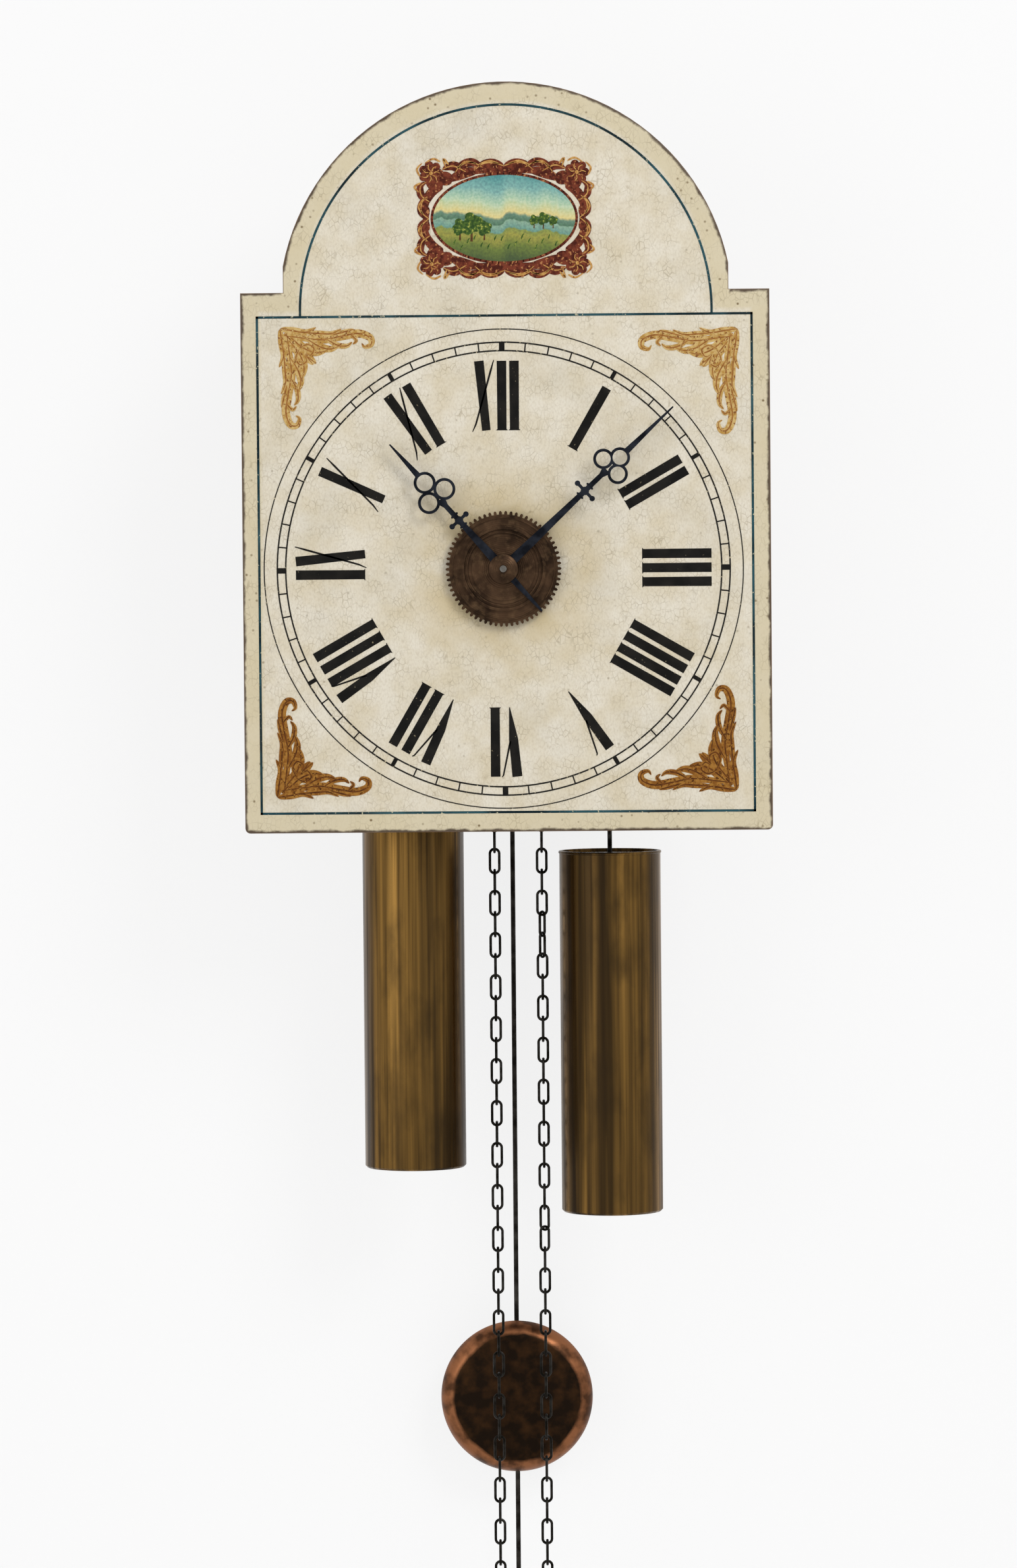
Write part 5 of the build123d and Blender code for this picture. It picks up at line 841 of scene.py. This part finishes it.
for i in range(REEDS):
    foot = PICTURE + Vector((-24 + 3.2 * i, -12.4 - 2.6 * math.sin(i * 1.7)))
    scroll(crowns, [foot, foot + Vector((0.4, 1.4)), foot + Vector((1.2, 2.6))], REED_WIDTH,
           REED_LIFT, REED_TIP, TREE_BASE)
hang_up("picture_tree_crowns", crowns, leaf_green, "case")
hang_up("picture_tree_trunks", trunks, bark_brown, "case")

# %% [markdown]
# The alarm disc is turned on a lathe: a flat rim, a raised ring and a shallow step toward the hub. Bump
# could fake the ring, but not its edge against the light. So the rings are low solids on the disc, with
# their front corners rounded a tenth of a millimetre, and they turn with it.

# %% Turned rings of the alarm disc
DISC_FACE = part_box("alarm_disc")[0].y
CORNER_ROUND = 0.1 * MM
SHARP = 1.0
turned_rings = bmesh.new()
for inner, outer, height in ((18.6, 20.0, 0.35), (16.9, 17.5, 0.2), (23.9, 24.4, 0.2)):
    ring(turned_rings, (0, 0), inner, outer, DISC_FACE, height, 96)
front_corners = [line for line in turned_rings.edges if line.is_manifold and line.calc_face_angle(0) > SHARP
                 and max(vert.co.y for vert in line.verts) < DISC_FACE - CORNER_ROUND]
bmesh.ops.bevel(turned_rings, geom=front_corners, offset=CORNER_ROUND, affect="EDGES", segments=2,
                profile=0.5, material=-1)
hang_up("alarm_disc_rings", turned_rings, disc_brass, "alarm")

# %% [markdown]
# The room is plain: a white wall and floor under an even sky. More light would whiten the wall but also
# bleach the clock. So the wall and the sky are made brighter only for what the eye meets straight away
# or in a reflection, and this mask, used for both, says which rays those are.

# %% Which rays see the room
def seen_rays(tree):
    """Mask of the rays from the camera, from a reflection and through glass."""
    path = add_node(tree, "LightPath").outputs
    indirect = add_node(tree, "Math", {0: path["Is Glossy Ray"], 1: path["Is Transmission Ray"]},
                        operation="MAXIMUM").outputs[0]
    return add_node(tree, "Math", {0: path["Is Camera Ray"], 1: indirect},
                    operation="MAXIMUM").outputs[0]


print("three kinds of ray see the room")

# %% [markdown]
# A painted wall is matt and keeps the clock's soft shadow. Glow alone would lose that shadow, so most
# of the glow is mixed with some plain white. From behind, the wall is clear, because otherwise the back
# of the clock could not be looked at.

# %% White wall and floor
GLOW, ROOM_HALF, WALL_Y, FLOOR_Z = 0.82, 3.0, 0.004, -1.6
wall_white, tree, shader, _ = start_finish("wall_white", 0.9)
shader.inputs["Base Color"].default_value = tint("#F4F4F4")
glow = add_node(tree, "Emission", {"Color": (1, 1, 1, 1), "Strength": 1.0})
glow_share = add_node(tree, "Math", {0: seen_rays(tree), 1: GLOW}, operation="MULTIPLY").outputs[0]
lit = add_node(tree, "MixShader", {0: glow_share, 1: shader.outputs[0], 2: glow.outputs[0]})
clear = add_node(tree, "BsdfTransparent")
back_side = add_node(tree, "NewGeometry").outputs["Backfacing"]
one_sided = add_node(tree, "MixShader", {0: back_side, 1: lit.outputs[0], 2: clear.outputs[0]})
tree.links.new(one_sided.outputs[0], tree.nodes["Material Output"].inputs["Surface"])

wall = bmesh.new()
bmesh.ops.create_grid(wall, x_segments=1, y_segments=1, size=ROOM_HALF,
                      matrix=Matrix.Translation((0, WALL_Y, 0)) @ Matrix.Rotation(math.pi / 2, 4, "X"))
bmesh.ops.create_grid(wall, x_segments=1, y_segments=1, size=ROOM_HALF,
                      matrix=Matrix.Translation((0, WALL_Y - ROOM_HALF, FLOOR_Z)))
wall_mesh = bpy.data.meshes.new("wall_and_floor")
wall.to_mesh(wall_mesh)
wall.free()
wall_mesh.materials.append(wall_white)
room = bpy.data.objects.new("wall_and_floor", wall_mesh)
bpy.context.scene.collection.objects.link(room)
print("wall normals", [tuple(round(c) for c in face.normal) for face in wall_mesh.polygons])

# %% [markdown]
# Window light on a wall comes soft and from one side. A sun lamp would cut hard shadows, so two square
# lamps do it: the larger share from above and to the right, and a weak one to the left that keeps the
# weights' dark sides readable.

# %% Two soft lamps
def hang_lamp(name, place, aim, watts, size):
    """Square lamp at a place, turned to a point."""
    light = bpy.data.lights.new(name, "AREA")
    light.energy, light.size = watts, size
    lamp = bpy.data.objects.new(name, light)
    lamp.location = place
    lamp.rotation_euler = (Vector(aim) - Vector(place)).to_track_quat("-Z", "Y").to_euler()
    bpy.context.scene.collection.objects.link(lamp)
    print(name, watts, "W")


hang_lamp("key_lamp", (1.1, -1.9, 1.2), (0, -0.1, -0.15), 20.0, 0.9)
hang_lamp("fill_lamp", (-1.6, -1.8, 0.1), (0, -0.1, -0.25), 6.0, 1.2)

# %% [markdown]
# The sky fills the room with even light, at just over half strength so that cream stays cream, and the
# same mask shows it as plain white. The Standard view shows a colour as it is written, where others
# would grey it.

# %% Even sky
SKY_LIGHT = 0.58
sky = bpy.data.worlds.new("even_sky")
bpy.context.scene.world = sky
sky.use_nodes = True
tree = sky.node_tree
daylight = tree.nodes["Background"]
daylight.inputs["Color"].default_value = (1, 1, 1, 1)
daylight.inputs["Strength"].default_value = SKY_LIGHT
backdrop = add_node(tree, "Background", {"Color": (1, 1, 1, 1), "Strength": 1.0})
both = add_node(tree, "MixShader", {0: seen_rays(tree), 1: daylight.outputs[0],
                                    2: backdrop.outputs[0]})
tree.links.new(both.outputs[0], tree.nodes["World Output"].inputs["Surface"])
bpy.context.scene.view_settings.view_transform = "Standard"
print("sky at", SKY_LIGHT)

# %% [markdown]
# The camera stands 2.7 m in front of the board, a little right of its middle, tipped down by two degrees
# and rolled by half a degree. It could be placed by eye, but this place was fitted: it is the one from
# which sixteen measured points of the clock fall where they do in the photograph, most within 2 pixels.

# %% Camera
FOCAL_PIXELS, FRAME_PIXELS, SENSOR_MM = 8657.8, 2380, 36.0
CAMERA_AT, TURN, TIP, ROLL = (0.0405, -2.827, -0.111), 0.014473, 0.032874, -0.008595
lens = bpy.data.cameras.new("camera")
lens.sensor_width = SENSOR_MM
lens.lens = SENSOR_MM * FOCAL_PIXELS / FRAME_PIXELS
camera = bpy.data.objects.new("camera", lens)
camera.matrix_world = (Matrix.Translation(CAMERA_AT) @ Matrix.Rotation(TURN, 4, "Z")
                       @ Matrix.Rotation(math.pi / 2 - TIP, 4, "X") @ Matrix.Rotation(ROLL, 4, "Z"))
bpy.context.scene.collection.objects.link(camera)
bpy.context.scene.camera = camera
print("lens", round(lens.lens, 1), "mm")
